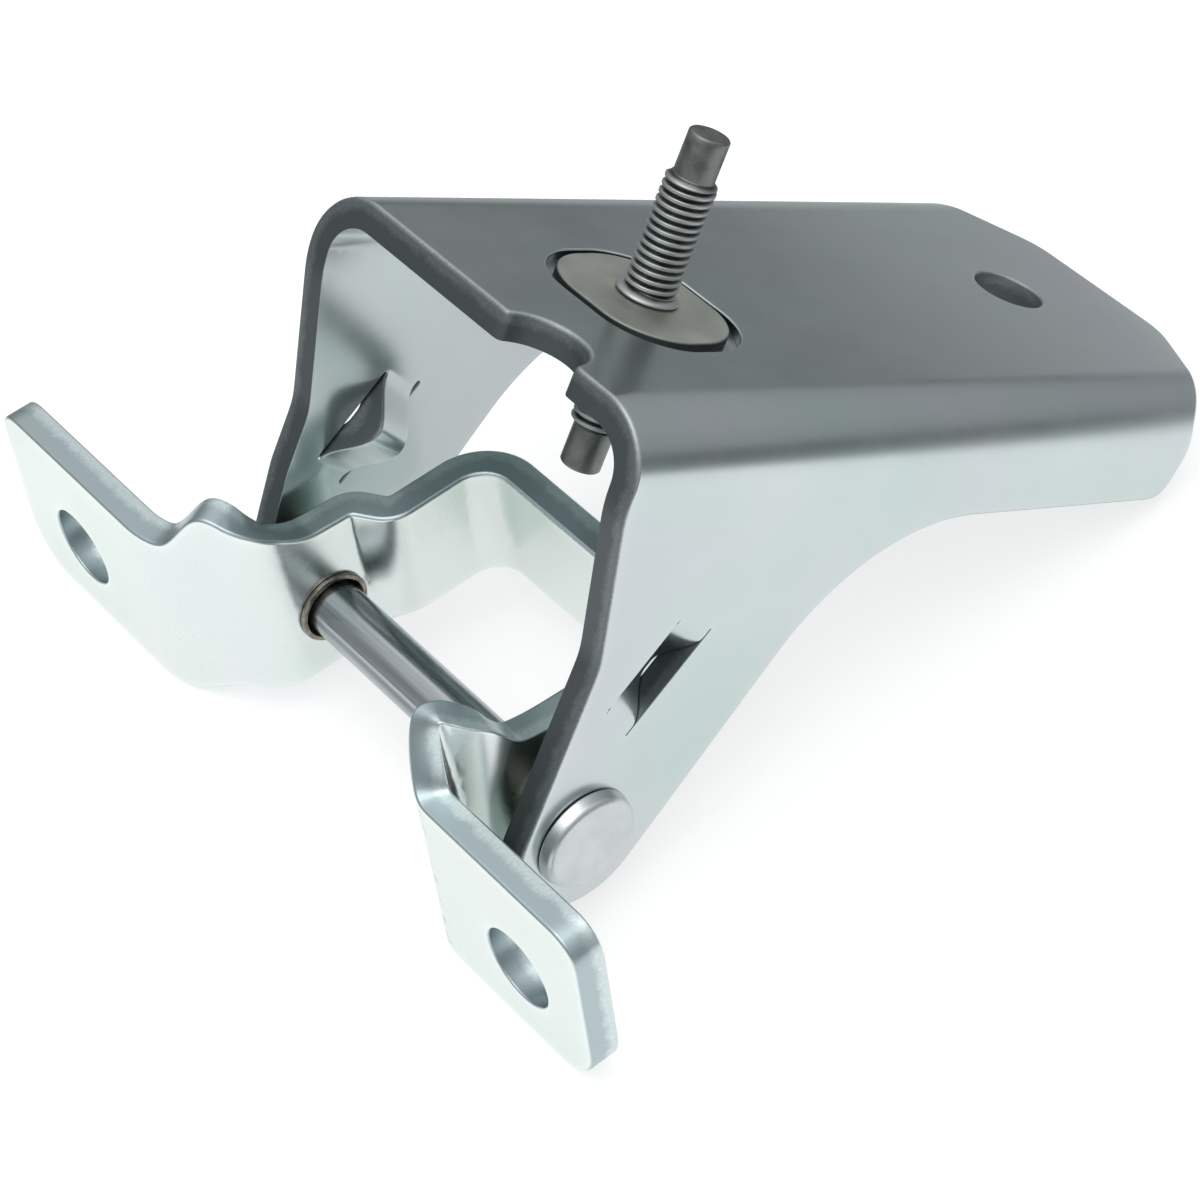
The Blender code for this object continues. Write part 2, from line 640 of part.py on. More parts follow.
def strap_mesh():
    points, lengths, corners = lay_out(strap_path())
    total = lengths[-1]
    top, bottom = edge_heights(corners, total)
    shape = bmesh.new()
    rings = []
    for distance in stations_along(lengths, total):
        middle = at_length(points, lengths, distance)
        behind = at_length(points, lengths, max(0.0, distance - HEADING_PROBE))
        ahead = at_length(points, lengths, min(total, distance + HEADING_PROBE))
        heading = (ahead - behind).normalized()
        left = Vector((-heading.y, heading.x)) * STRAP_PLATE / 2
        high = fair(top, distance) - foot_end_trim(distance, total, FOOT_CORNER_HIGH)
        low = fair(bottom, distance) + foot_end_trim(distance, total, FOOT_CORNER_LOW)
        ring = []
        for side, height in ((1, low), (1, high), (-1, high), (-1, low)):
            spot = middle + left * side
            ring.append(shape.verts.new((spot.x, spot.y, height)))
        rings.append(ring)
    for ring, following in zip(rings, rings[1:]):
        for index in range(4):
            after = (index + 1) % 4
            shape.faces.new((ring[index], ring[after], following[after], following[index]))
    shape.faces.new(rings[0])
    shape.faces.new(reversed(rings[-1]))
    return finish_mesh("pillar_strap", shape)


def build_pillar_strap(axis):
    zinc = make_material("pillar_strap_zinc", (0.62, 0.66, 0.66), 1.0, 0.3)
    strap = make_object("pillar_strap", strap_mesh(), axis, zinc)
    low = FOOT_FACE - CUT_MARGIN
    high = FOOT_FACE + STRAP_PLATE + CUT_MARGIN
    for name, place_y in (("left_foot_hole", LEFT_HOLE_PLACE), ("right_foot_hole", RIGHT_HOLE_PLACE)):

        def hole_place(u, v, w, middle=place_y):
            return (w, middle + u, FOOT_HOLE_HEIGHT + v)

        boolean(strap, cylinder_tool(name, axis, FOOT_HOLE_RADIUS, low, high, hole_place), 'DIFFERENCE')
    for name, sign in (("left_bush_hole", 1), ("right_bush_hole", -1)):
        near, far = sorted((sign * (ARM_INSIDE - CUT_MARGIN), sign * (ARM_OUTSIDE + CUT_MARGIN)))
        tool = cylinder_tool(name, axis, BUSH_RADIUS + RUNNING_GAP, near, far, along_y)
        boolean(strap, tool, 'DIFFERENCE')
    return strap


# Pin, bushes and stud

def build_pin(axis):
    steel = make_material("polished_pin_steel", (0.5, 0.53, 0.55), 1.0, 0.16)
    head_seat = -CHEEK_OUTSIDE - SEAT_GAP
    head_face = head_seat - PIN_HEAD_HEIGHT
    rivet_seat = CHEEK_OUTSIDE + SEAT_GAP
    rivet_face = rivet_seat + PIN_RIVET_HEIGHT
    break_edge = 2 * EDGE_BREAK
    profile = [
        (0.0, head_face),
        (PIN_HEAD_RADIUS - break_edge, head_face),
        (PIN_HEAD_RADIUS, head_face + break_edge),
        (PIN_HEAD_BASE, head_seat),
        (PIN_RADIUS, head_seat),
        (PIN_RADIUS, rivet_seat),
        (PIN_RIVET_RADIUS, rivet_seat),
        (PIN_RIVET_RADIUS, rivet_seat + EDGE_BREAK),
        (PIN_RIVET_RADIUS - break_edge, rivet_face - EDGE_BREAK),
        (PIN_RADIUS, rivet_face),
        (0.0, rivet_face),
    ]
    return make_object("hinge_pin", turned_mesh("hinge_pin", profile, along_y), axis, steel)


def build_bush(axis, side, sign):
    bronze = make_material(side + "_bush_bronze", (0.60, 0.50, 0.36), 1.0, 0.25)
    lip_face = ARM_INSIDE - RUNNING_GAP - BUSH_LIP_HEIGHT
    flange_back = ARM_OUTSIDE + RUNNING_GAP
    flange_face = CHEEK_INSIDE - RUNNING_GAP
    mouth = BUSH_BORE + BUSH_FLARE
    profile = [
        (mouth, lip_face),
        (BUSH_LIP_RADIUS - EDGE_BREAK, lip_face),
        (BUSH_LIP_RADIUS, lip_face + EDGE_BREAK),
        (BUSH_LIP_RADIUS, ARM_INSIDE - RUNNING_GAP),
        (BUSH_RADIUS, ARM_INSIDE - RUNNING_GAP),
        (BUSH_RADIUS, flange_back),
        (BUSH_FLANGE_RADIUS - EDGE_BREAK, flange_back),
        (BUSH_FLANGE_RADIUS, flange_back + EDGE_BREAK),
        (BUSH_FLANGE_RADIUS, flange_face - EDGE_BREAK),
        (BUSH_FLANGE_RADIUS - EDGE_BREAK, flange_face),
        (BUSH_BORE, flange_face),
        (BUSH_BORE, lip_face + 2 * BUSH_FLARE),
    ]
    placed = [(radius, sign * height) for radius, height in profile]
    name = side + "_bush"
    return make_object(name, turned_mesh(name, placed, along_y), axis, bronze)


def build_stud(axis):
    steel = make_material("stud_steel", (0.44, 0.45, 0.45), 1.0, 0.36)
    tip = WEB_HEIGHT + STUD_ABOVE
    tail = WEB_HEIGHT - STUD_BELOW
    shoulder = (STUD_RADIUS - DOG_RADIUS) * 1.2
    collar_foot = WEB_HEIGHT + SEAT_GAP

    def place(u, v, w):
        return (STUD_PLACE[0] + u, STUD_PLACE[1] + v, w)

    profile = [
        (0.0, tail),
        (DOG_RADIUS - DOG_CHAMFER / 2, tail),
        (DOG_RADIUS, tail + DOG_CHAMFER),
        (DOG_RADIUS, tail + DOG_LENGTH),
        (STUD_RADIUS, tail + DOG_LENGTH + shoulder),
        (STUD_RADIUS, collar_foot),
        (COLLAR_RADIUS, collar_foot),
        (COLLAR_RADIUS, collar_foot + COLLAR_HEIGHT / 2),
        (STUD_RADIUS, collar_foot + COLLAR_HEIGHT),
        (STUD_RADIUS, tip - DOG_LENGTH - shoulder),
        (DOG_RADIUS, tip - DOG_LENGTH),
        (DOG_RADIUS, tip - DOG_CHAMFER / 2),
        (DOG_RADIUS - DOG_CHAMFER / 2, tip),
        (0.0, tip),
    ]
    return make_object("mounting_stud", turned_mesh("mounting_stud", profile, place), axis, steel)


def build_stud_plate(axis):
    steel = make_material("stud_plate_steel", (0.42, 0.43, 0.41), 1.0, 0.5)
    outline = oval_outline(PLATE_PLACE, PLATE_LENGTH, PLATE_WIDTH, PLATE_CORNER)
    plate = make_object("stud_plate", prism_mesh("stud_plate", outline, SEAT_HEIGHT, WEB_HEIGHT, along_z),
                        axis, steel)

    def place(u, v, w):
        return (STUD_PLACE[0] + u, STUD_PLACE[1] + v, w)

    hole = cylinder_tool("plate_hole", axis, STUD_RADIUS + SEAT_GAP, WEB_UNDERSIDE, WEB_HEIGHT + CUT_MARGIN, place)
    boolean(plate, hole, 'DIFFERENCE')
    return plate


def main():
    clear_scene()
    pillar_axis = bpy.data.objects.new("pillar_axis", None)
    pillar_axis.location = PIN_PLACE
    bpy.context.scene.collection.objects.link(pillar_axis)
    door_axis = bpy.data.objects.new("door_axis", None)
    door_axis.parent = pillar_axis
    door_axis.rotation_euler = (0.0, REST_SWING, 0.0)
    bpy.context.scene.collection.objects.link(door_axis)
    build_pillar_strap(pillar_axis)
    build_bush(pillar_axis, "left", 1)
    build_bush(pillar_axis, "right", -1)
    build_door_leaf(door_axis)
    build_pin(door_axis)
    build_stud(door_axis)
    build_stud_plate(door_axis)
    bpy.context.view_layer.update()


main()
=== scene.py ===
# Stamped car door hinge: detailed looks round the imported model.
# Lengths in the dictionaries are in millimetres, the scene is in metres.
# Each sheet metal piece is drawn flat, gets its rounded edges there and is then folded.
import json
import math

import bpy
import numpy as np
from mathutils import Euler, Matrix, Vector
from mathutils.geometry import delaunay_2d_cdt
from mathutils.kdtree import KDTree


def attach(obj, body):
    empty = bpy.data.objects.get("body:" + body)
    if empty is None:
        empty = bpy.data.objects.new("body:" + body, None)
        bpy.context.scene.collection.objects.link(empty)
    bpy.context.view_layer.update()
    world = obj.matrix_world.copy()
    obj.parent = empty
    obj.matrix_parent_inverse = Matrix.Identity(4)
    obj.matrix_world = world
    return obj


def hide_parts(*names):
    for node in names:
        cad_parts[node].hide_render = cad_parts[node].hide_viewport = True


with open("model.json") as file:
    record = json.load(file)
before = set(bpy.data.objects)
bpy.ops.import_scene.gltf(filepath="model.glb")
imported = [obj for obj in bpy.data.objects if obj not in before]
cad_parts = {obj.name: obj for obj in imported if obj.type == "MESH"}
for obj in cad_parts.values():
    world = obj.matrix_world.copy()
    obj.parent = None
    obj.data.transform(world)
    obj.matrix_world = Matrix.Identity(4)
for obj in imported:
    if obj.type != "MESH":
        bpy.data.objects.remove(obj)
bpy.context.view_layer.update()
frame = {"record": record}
mm = 0.001
scene = bpy.context.scene

# The pin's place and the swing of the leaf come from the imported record.
joint = frame["record"]["behaviour"]["joints"][0]
doorFace = [mount for mount in frame["record"]["mounts"] if mount["name"] == "door_face"][0]
pinPlace = Vector(joint["pos_m"])
restSwing = math.atan2(doorFace["axis"][0], doorFace["axis"][2])
strapPlace = Matrix.Translation(pinPlace)
leafPlace = strapPlace @ Matrix.Rotation(restSwing, 4, 'Y')
print("frame loaded, leaf swung open by", round(math.degrees(restSwing), 2), "degrees")


# Outlines

def turnBy(way, angle):
    cosine, sine = math.cos(angle), math.sin(angle)
    return np.array((way[0] * cosine - way[1] * sine, way[0] * sine + way[1] * cosine))


def roundCorners(corners, closed=True, steps=28):
    # corners are (u, v, radius); sides face to the right of the way along
    spots = [np.array(corner[:2], dtype=float) for corner in corners]
    last = len(spots) - 1
    points, sides, middles = [], [], []
    for index, spot in enumerate(spots):
        if not closed and index in (0, last):
            run = spots[1] - spots[0] if index == 0 else spots[last] - spots[last - 1]
            run = run / np.linalg.norm(run)
            middles.append(len(points))
            points.append(spot)
            sides.append(turnBy(run, -math.pi / 2))
            continue
        come = spot - spots[index - 1]
        come = come / np.linalg.norm(come)
        leave = spots[(index + 1) % len(spots)] - spot
        leave = leave / np.linalg.norm(leave)
        turn = math.atan2(come[0] * leave[1] - come[1] * leave[0], come @ leave)
        radius = corners[index][2]
        start = spot - come * radius * math.tan(abs(turn) / 2)
        centre = start + turnBy(come, math.copysign(math.pi / 2, turn)) * radius
        middles.append(len(points) + steps * 3 // 7)  # the fold's stop, a little before its middle
        for step in range(steps + 1):
            angle = turn * step / steps
            points.append(centre + turnBy(start - centre, angle))
            sides.append(turnBy(come, angle - math.pi / 2))
    return np.array(points), np.array(sides), middles


def arcPoints(centre, radius, start, end, steps=60):
    angles = np.linspace(start, end, steps + 1)
    return np.column_stack((centre[0] + radius * np.cos(angles), centre[1] + radius * np.sin(angles)))


def resample(loop, spacing, fewest=8):
    closed = np.vstack((loop, loop[:1]))
    lengths = np.concatenate(([0.0], np.cumsum(np.linalg.norm(np.diff(closed, axis=0), axis=1))))
    count = max(fewest, int(round(lengths[-1] / spacing)))
    places = np.linspace(0.0, lengths[-1], count, endpoint=False)
    return np.column_stack([np.interp(places, lengths, closed[:, axis]) for axis in (0, 1)])


def softenLoop(loop, softness, spacing, fine=0.1, spread=4):
    # blurs the loop along its length, which rounds every corner a little
    dense = resample(loop, fine)
    reach = int(spread * softness / fine)
    offsets = np.arange(-reach, reach + 1)
    weights = np.exp(-0.5 * (offsets * fine / softness) ** 2)
    weights /= weights.sum()
    wrapped = np.vstack((dense[-reach:], dense, dense[:reach]))
    blurred = [np.convolve(wrapped[:, axis], weights, mode="valid") for axis in (0, 1)]
    return resample(np.column_stack(blurred), spacing)


def loopArea(loop):
    following = np.roll(loop, -1, axis=0)
    return 0.5 * np.sum(loop[:, 0] * following[:, 1] - following[:, 0] * loop[:, 1])


def asHole(loop):
    return loop[::-1] if loopArea(loop) > 0 else loop


def asBorder(loop):
    return loop if loopArea(loop) > 0 else loop[::-1]


def circleLoop(centre, radius, spacing=0.5, fewest=24):
    steps = max(fewest, int(math.tau * radius / spacing))
    return arcPoints(centre, radius, 0.0, math.tau, steps)[:-1]


def ovalLoop(place, size, corner, spacing=0.5):
    x, y = place
    halfU, halfV = size[0] / 2, size[1] / 2
    points, _, _ = roundCorners([(x - halfU, y - halfV, corner), (x + halfU, y - halfV, corner),
                                 (x + halfU, y + halfV, corner), (x - halfU, y + halfV, corner)])
    return resample(points, spacing)


def loopSides(loop):
    # the way outwards at every point
    tangent = np.roll(loop, -1, axis=0) - np.roll(loop, 1, axis=0)
    tangent /= np.linalg.norm(tangent, axis=1)[:, None]
    return np.column_stack((tangent[:, 1], -tangent[:, 0]))


def fair(controls, distance):
    # smooth height through (distance, height) pairs, level at its peaks and ends
    if distance <= controls[0][0]:
        return controls[0][1]
    secants = [(b[1] - a[1]) / (b[0] - a[0]) for a, b in zip(controls, controls[1:])]
    slopes = [0.0]
    for before, after in zip(secants, secants[1:]):
        slopes.append(2 * before * after / (before + after) if before * after > 0 else 0.0)
    slopes.append(0.0)
    for index, (first, second) in enumerate(zip(controls, controls[1:])):
        if distance <= second[0]:
            span = second[0] - first[0]
            share = (distance - first[0]) / span
            rest = 1 - share
            lead = share * rest * (rest * slopes[index] - share * slopes[index + 1]) * span
            return first[1] + (second[1] - first[1]) * share * share * (3 - 2 * share) + lead
    return controls[-1][1]


def addObject(name, data):
    thing = bpy.data.objects.new(name, data)
    scene.collection.objects.link(thing)
    return thing


# Sheet metal: a flat blank with rounded, sheared edges that is folded afterwards

def newBlank():
    return {"spots": [], "ways": [], "marks": [], "faces": [], "total": 0}


def addSpots(blank, flat, depth, ways, marks):
    count = len(flat)
    blank["spots"].append(np.column_stack((flat, np.full(count, depth))))
    blank["ways"].append(ways)
    blank["marks"].append(marks)
    blank["total"] += count
    return np.arange(blank["total"] - count, blank["total"])


turnSteps = 5


def edgeProfile(top, bottom, start, end, wallSteps=4):
    # rows of (inset, depth, how far it faces out, how far it faces up)
    rows = []
    for step in range(turnSteps + 1):
        angle = math.pi / 2 * step / turnSteps
        rows.append((top * (1 - math.sin(angle)), start + top * (1 - math.cos(angle)),
                     math.sin(angle), math.cos(angle)))
    for step in range(1, wallSteps):
        depth = start + top + (end - bottom - start - top) * step / wallSteps
        rows.append((0.0, depth, 1.0, 0.0))
    for step in range(turnSteps + 1):
        angle = math.pi / 2 * (1 - step / turnSteps)
        rows.append((bottom * (1 - math.sin(angle)), end - bottom * (1 - math.cos(angle)),
                     math.sin(angle), -math.cos(angle)))
    return rows


def addEdge(blank, loop, rows, cut=1.0):
    # rings round a loop; cut is how much the edge shows shear marks
    side = loopSides(loop)
    steps = np.linalg.norm(np.roll(loop, -1, axis=0) - loop, axis=1)
    along = np.concatenate(([0.0], np.cumsum(steps)[:-1]))
    start, end = rows[0][1], rows[-1][1]
    rings = []
    for inset, depth, out, up in rows:
        flat = loop - side * inset
        ways = np.column_stack((side * out, np.full(len(loop), -up)))
        share = (depth - start) / (end - start)
        # the last mark is 1 on the whole edge, where the plating paints its edge highlight at full strength
        marks = np.column_stack((np.full(len(loop), cut * out ** 1.5), along, np.full(len(loop), share),
                                 np.ones(len(loop))))
        rings.append((addSpots(blank, flat, depth, ways, marks), flat))
    for (near, _), (far, _) in zip(rings, rings[1:]):
        quads = np.column_stack((near, np.roll(near, -1), np.roll(far, -1), far))
        blank["faces"].extend(quads.tolist())
    return rings[0], rings[-1]


def insideLoops(points, loops, batch=1500):
    # counts how often a line from each point crosses the loops
    inside = np.zeros(len(points), dtype=bool)
    starts = np.vstack(loops)
    ends = np.vstack([np.roll(loop, -1, axis=0) for loop in loops])
    for first in range(0, len(points), batch):
        px = points[first:first + batch, 0:1]
        py = points[first:first + batch, 1:2]
        spans = (starts[:, 1] > py) != (ends[:, 1] > py)
        rise = np.where(ends[:, 1] == starts[:, 1], 1.0, ends[:, 1] - starts[:, 1])
        cross = (ends[:, 0] - starts[:, 0]) * (py - starts[:, 1]) / rise + starts[:, 0]
        inside[first:first + batch] = np.sum(spans & (px < cross), axis=1) % 2 == 1
    return inside


def addFlat(blank, rings, grids, depth, up, bands=(0.5, 1.2), closeness=0.85, rimWidth=0.8, tolerance=1e-6):
    # fills between rings with triangles; grids are (points, least distance from an edge)
    borders = [flat for _, flat in rings]
    tree = KDTree(sum(len(flat) for flat in borders))
    number = 0
    for flat in borders:
        for point in flat:
            tree.insert((point[0], point[1], 0.0), number)
            number += 1
    tree.balance()
    wanted = []
    for band in bands:
        for flat in borders:
            inwards = -loopSides(flat)[::2]
            wanted.append((flat[::2] + inwards * band, band * closeness))
    wanted += grids
    kept, distances = [], []
    for points, least in wanted:
        for point in points[insideLoops(points, borders)]:
            distance = tree.find((point[0], point[1], 0.0))[2]
            if distance >= least:
                kept.append(point)
                distances.append(distance)
    kept = np.array(kept)
    ways = np.tile((0.0, 0.0, -up), (len(kept), 1))
    # nearness to an edge, which the plating turns into a painted highlight along the edges
    nearness = np.exp(-np.array(distances) / rimWidth)
    marks = np.column_stack((np.zeros((len(kept), 3)), nearness))
    fresh = addSpots(blank, kept, depth, ways, marks)
    numbers = np.concatenate([indices for indices, _ in rings] + [fresh])
    corners = [Vector(point) for point in np.vstack(borders + [kept])]
    edges = []
    first = 0
    for flat in borders:
        count = len(flat)
        edges += [(first + step, first + (step + 1) % count) for step in range(count)]
        first += count
    result = delaunay_2d_cdt(corners, edges, [], 0, tolerance)
    spots = np.array([tuple(spot) for spot in result[0]])
    triangles = np.array([face for face in result[2] if len(face) == 3])
    centres = spots[triangles].mean(axis=1)
    triangles = triangles[insideLoops(centres, borders)]
    origin = [source[0] if source else -1 for source in result[3]]
    for triangle in triangles:
        corner = [origin[spot] for spot in triangle]
        if min(corner) >= 0:
            blank["faces"].append([int(numbers[spot]) for spot in corner])


def foldBlank(name, blank, fold, place, body, node, material, probe=0.004):
    # folds every point and turns its facing with the slopes of the fold
    spots = np.vstack(blank["spots"])
    ways = np.vstack(blank["ways"])
    marks = np.vstack(blank["marks"])
    slopes = []
    for axis in range(3):
        shift = np.zeros(3)
        shift[axis] = probe
        slopes.append((fold(spots + shift) - fold(spots - shift)) / (2 * probe))
    normals = (ways[:, 0:1] * np.cross(slopes[1], slopes[2]) + ways[:, 1:2] * np.cross(slopes[2], slopes[0])
               + ways[:, 2:3] * np.cross(slopes[0], slopes[1]))
    handed = np.sign(np.einsum("ij,ij->i", np.cross(slopes[0], slopes[1]), slopes[2]))
    normals *= handed[:, None] / np.linalg.norm(normals, axis=1)[:, None]
    return meshPiece(name, fold(spots) * mm, normals, blank["faces"], marks, place, body, node, material)


def meshPiece(name, points, normals, faces, marks, place, body, node, material):
    # moves the mesh to its place, turns every face outwards, stores the surface marks and joins the body
    turn = np.array(place.to_3x3())
    points = points @ turn.T + np.array(place.translation)
    normals = normals @ turn.T
    ordered = []
    for face in faces:
        corners = points[face]
        facing = np.cross(corners[1] - corners[0], corners[2] - corners[0])
        if len(face) == 4:
            facing = facing + np.cross(corners[2] - corners[0], corners[3] - corners[0])
        ordered.append(face if facing @ normals[face].sum(axis=0) >= 0 else face[::-1])
    mesh = bpy.data.meshes.new(name)
    mesh.from_pydata(points.tolist(), [], ordered)
    mesh.shade_smooth()
    for column, label in enumerate(("sheared", "along", "through", "rim")):
        values = mesh.attributes.new(label, 'FLOAT', 'POINT')
        values.data.foreach_set("value", marks[:, column].astype(np.float32))
    mesh.normals_split_custom_set_from_vertices(normals.tolist())
    mesh.materials.append(material)
    piece = addObject(name, mesh)
    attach(piece, body)
    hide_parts(node)
    print(name, "has", len(ordered), "faces")
    return piece


def gridPoints(low, high, stepU, stepV):
    us = np.arange(low[0], high[0] + stepU / 2, stepU)
    vs = np.arange(low[1], high[1] + stepV / 2, stepV)
    # every other row is shifted, which gives even triangles
    rows = [np.column_stack((us + (stepU / 2 if row % 2 else 0.0), np.full(len(us), v)))
            for row, v in enumerate(vs)]
    return np.vstack(rows)


# Materials

def addNode(tree, kind, **values):
    node = tree.nodes.new(kind)
    for key, value in values.items():
        setattr(node, key, value)
    return node


def plug(tree, source, socket):
    # a source is another node's socket, or a plain value
    if isinstance(source, bpy.types.NodeSocket):
        tree.links.new(source, socket)
    else:
        socket.default_value = source


def feed(tree, node, **sources):
    for key, source in sources.items():
        plug(tree, source, node.inputs[key.replace("_", " ")])
    return node


def newGroup(name, inputs, outputs):
    group = bpy.data.node_groups.new(name, 'ShaderNodeTree')
    for label, kind, value in inputs:
        socket = group.interface.new_socket(label, in_out='INPUT', socket_type=kind)
        socket.default_value = value
    for label, kind in outputs:
        group.interface.new_socket(label, in_out='OUTPUT', socket_type=kind)
    return group, addNode(group, 'NodeGroupInput').outputs, addNode(group, 'NodeGroupOutput').inputs


def mathNode(tree, operation, first, second=0.0, third=0.0):
    node = addNode(tree, 'ShaderNodeMath', operation=operation)
    for index, source in enumerate((first, second, third)):
        plug(tree, source, node.inputs[index])
    return node.outputs[0]


def mixColour(tree, share, first, second, blend='MIX'):
    node = addNode(tree, 'ShaderNodeMix', data_type='RGBA', blend_type=blend)
    for index, source in ((0, share), (6, first), (7, second)):
        plug(tree, source, node.inputs[index])
    return node.outputs[2]


def rampNode(tree, source, stops):
    node = addNode(tree, 'ShaderNodeValToRGB')
    tree.links.new(source, node.inputs[0])
    elements = node.color_ramp.elements
    while len(elements) < len(stops):
        elements.new(0.5)
    for element, (place, value) in zip(elements, stops):
        element.position = place
        element.color = value if isinstance(value, tuple) else (value, value, value, 1.0)
    return node.outputs[0]


def noiseNode(tree, scale, detail=3.0, stretch=None, coordinates=None, roughness=0.55):
    if coordinates is None:
        coordinates = addNode(tree, 'ShaderNodeTexCoord').outputs['Object']
    if stretch:
        mapping = addNode(tree, 'ShaderNodeMapping')
        mapping.inputs['Scale'].default_value = stretch
        tree.links.new(coordinates, mapping.inputs['Vector'])
        coordinates = mapping.outputs[0]
    node = addNode(tree, 'ShaderNodeTexNoise')
    feed(tree, node, Vector=coordinates, Scale=scale, Detail=detail, Roughness=roughness)
    return node.outputs[0]


def cloudNode(tree, scale, detail, low, high, stretch=None):
    # noise turned into a mask
    return rampNode(tree, noiseNode(tree, scale, detail, stretch), [(low, 0.0), (high, 1.0)])


def addHeights(tree, first, firstHeight, second, secondHeight):
    return mathNode(tree, 'MULTIPLY_ADD', first, firstHeight, mathNode(tree, 'MULTIPLY', second, secondHeight))


def markNode(tree, label):
    # one of the surface marks that meshPiece stores
    return addNode(tree, 'ShaderNodeAttribute', attribute_name=label).outputs['Fac']


platingScale = {"cool": 34.0, "warm": 21.0, "warmStretch": (1.0, 1.6, 0.8), "speck": 1900.0,
                "speckAmount": 0.25, "speckColour": (0.2, 0.21, 0.22, 1.0), "smudge": 95.0,
                "blotch": 420.0, "grain": 2600.0, "peel": 300.0, "wave": 45.0}


def platingGroup():
    # clouds of tint, handling smudges and the fine grain of zinc plating
    scale = platingScale
    group, given, out = newGroup("zinc_plating", [
        ("Zinc", 'NodeSocketColor', (0.6, 0.64, 0.66, 1.0)),
        ("Cool Tint", 'NodeSocketColor', (0.5, 0.62, 0.62, 1.0)),
        ("Warm Tint", 'NodeSocketColor', (0.58, 0.54, 0.6, 1.0)),
        ("Tint Amount", 'NodeSocketFloat', 0.5),
        ("Base Roughness", 'NodeSocketFloat', 0.25),
        ("Smudge Amount", 'NodeSocketFloat', 0.12),
        ("Grain Amount", 'NodeSocketFloat', 0.4),
        ("Peel Amount", 'NodeSocketFloat', 0.4),
        ("Wave Amount", 'NodeSocketFloat', 1.5),
    ], [("Color", 'NodeSocketColor'), ("Roughness", 'NodeSocketFloat'), ("Height", 'NodeSocketFloat')])
    coolMask = cloudNode(group, scale["cool"], 2.0, 0.42, 0.68)
    warmMask = cloudNode(group, scale["warm"], 2.0, 0.45, 0.7, scale["warmStretch"])
    cool = mixColour(group, mathNode(group, 'MULTIPLY', coolMask, given["Tint Amount"]),
                     given["Zinc"], given["Cool Tint"])
    warm = mixColour(group, mathNode(group, 'MULTIPLY', warmMask, given["Tint Amount"]),
                     cool, given["Warm Tint"])
    speck = cloudNode(group, scale["speck"], 1.0, 0.72, 0.8)
    spotted = mixColour(group, mathNode(group, 'MULTIPLY', speck, scale["speckAmount"]), warm,
                        scale["speckColour"])
    group.links.new(spotted, out["Color"])
    smudge = cloudNode(group, scale["smudge"], 4.0, 0.35, 0.75)
    blotch = cloudNode(group, scale["blotch"], 3.0, 0.3, 0.8)
    uneven = mathNode(group, 'ADD', smudge, mathNode(group, 'MULTIPLY', blotch, 0.5))
    group.links.new(mathNode(group, 'MULTIPLY_ADD', uneven, given["Smudge Amount"],
                             given["Base Roughness"]), out["Roughness"])
    grain = noiseNode(group, scale["grain"], 2.0)
    peel = noiseNode(group, scale["peel"], 2.0)
    wave = noiseNode(group, scale["wave"], 1.0)
    height = addHeights(group, peel, given["Peel Amount"], grain, given["Grain Amount"])
    group.links.new(mathNode(group, 'MULTIPLY_ADD', wave, given["Wave Amount"], height), out["Height"])
    return group


cutScale = {"streaks": 2.2, "fine": 7.0, "patches": 0.35, "wander": 0.5, "ragged": 0.25,
            "maskNoise": 0.35, "fineShare": 0.35}


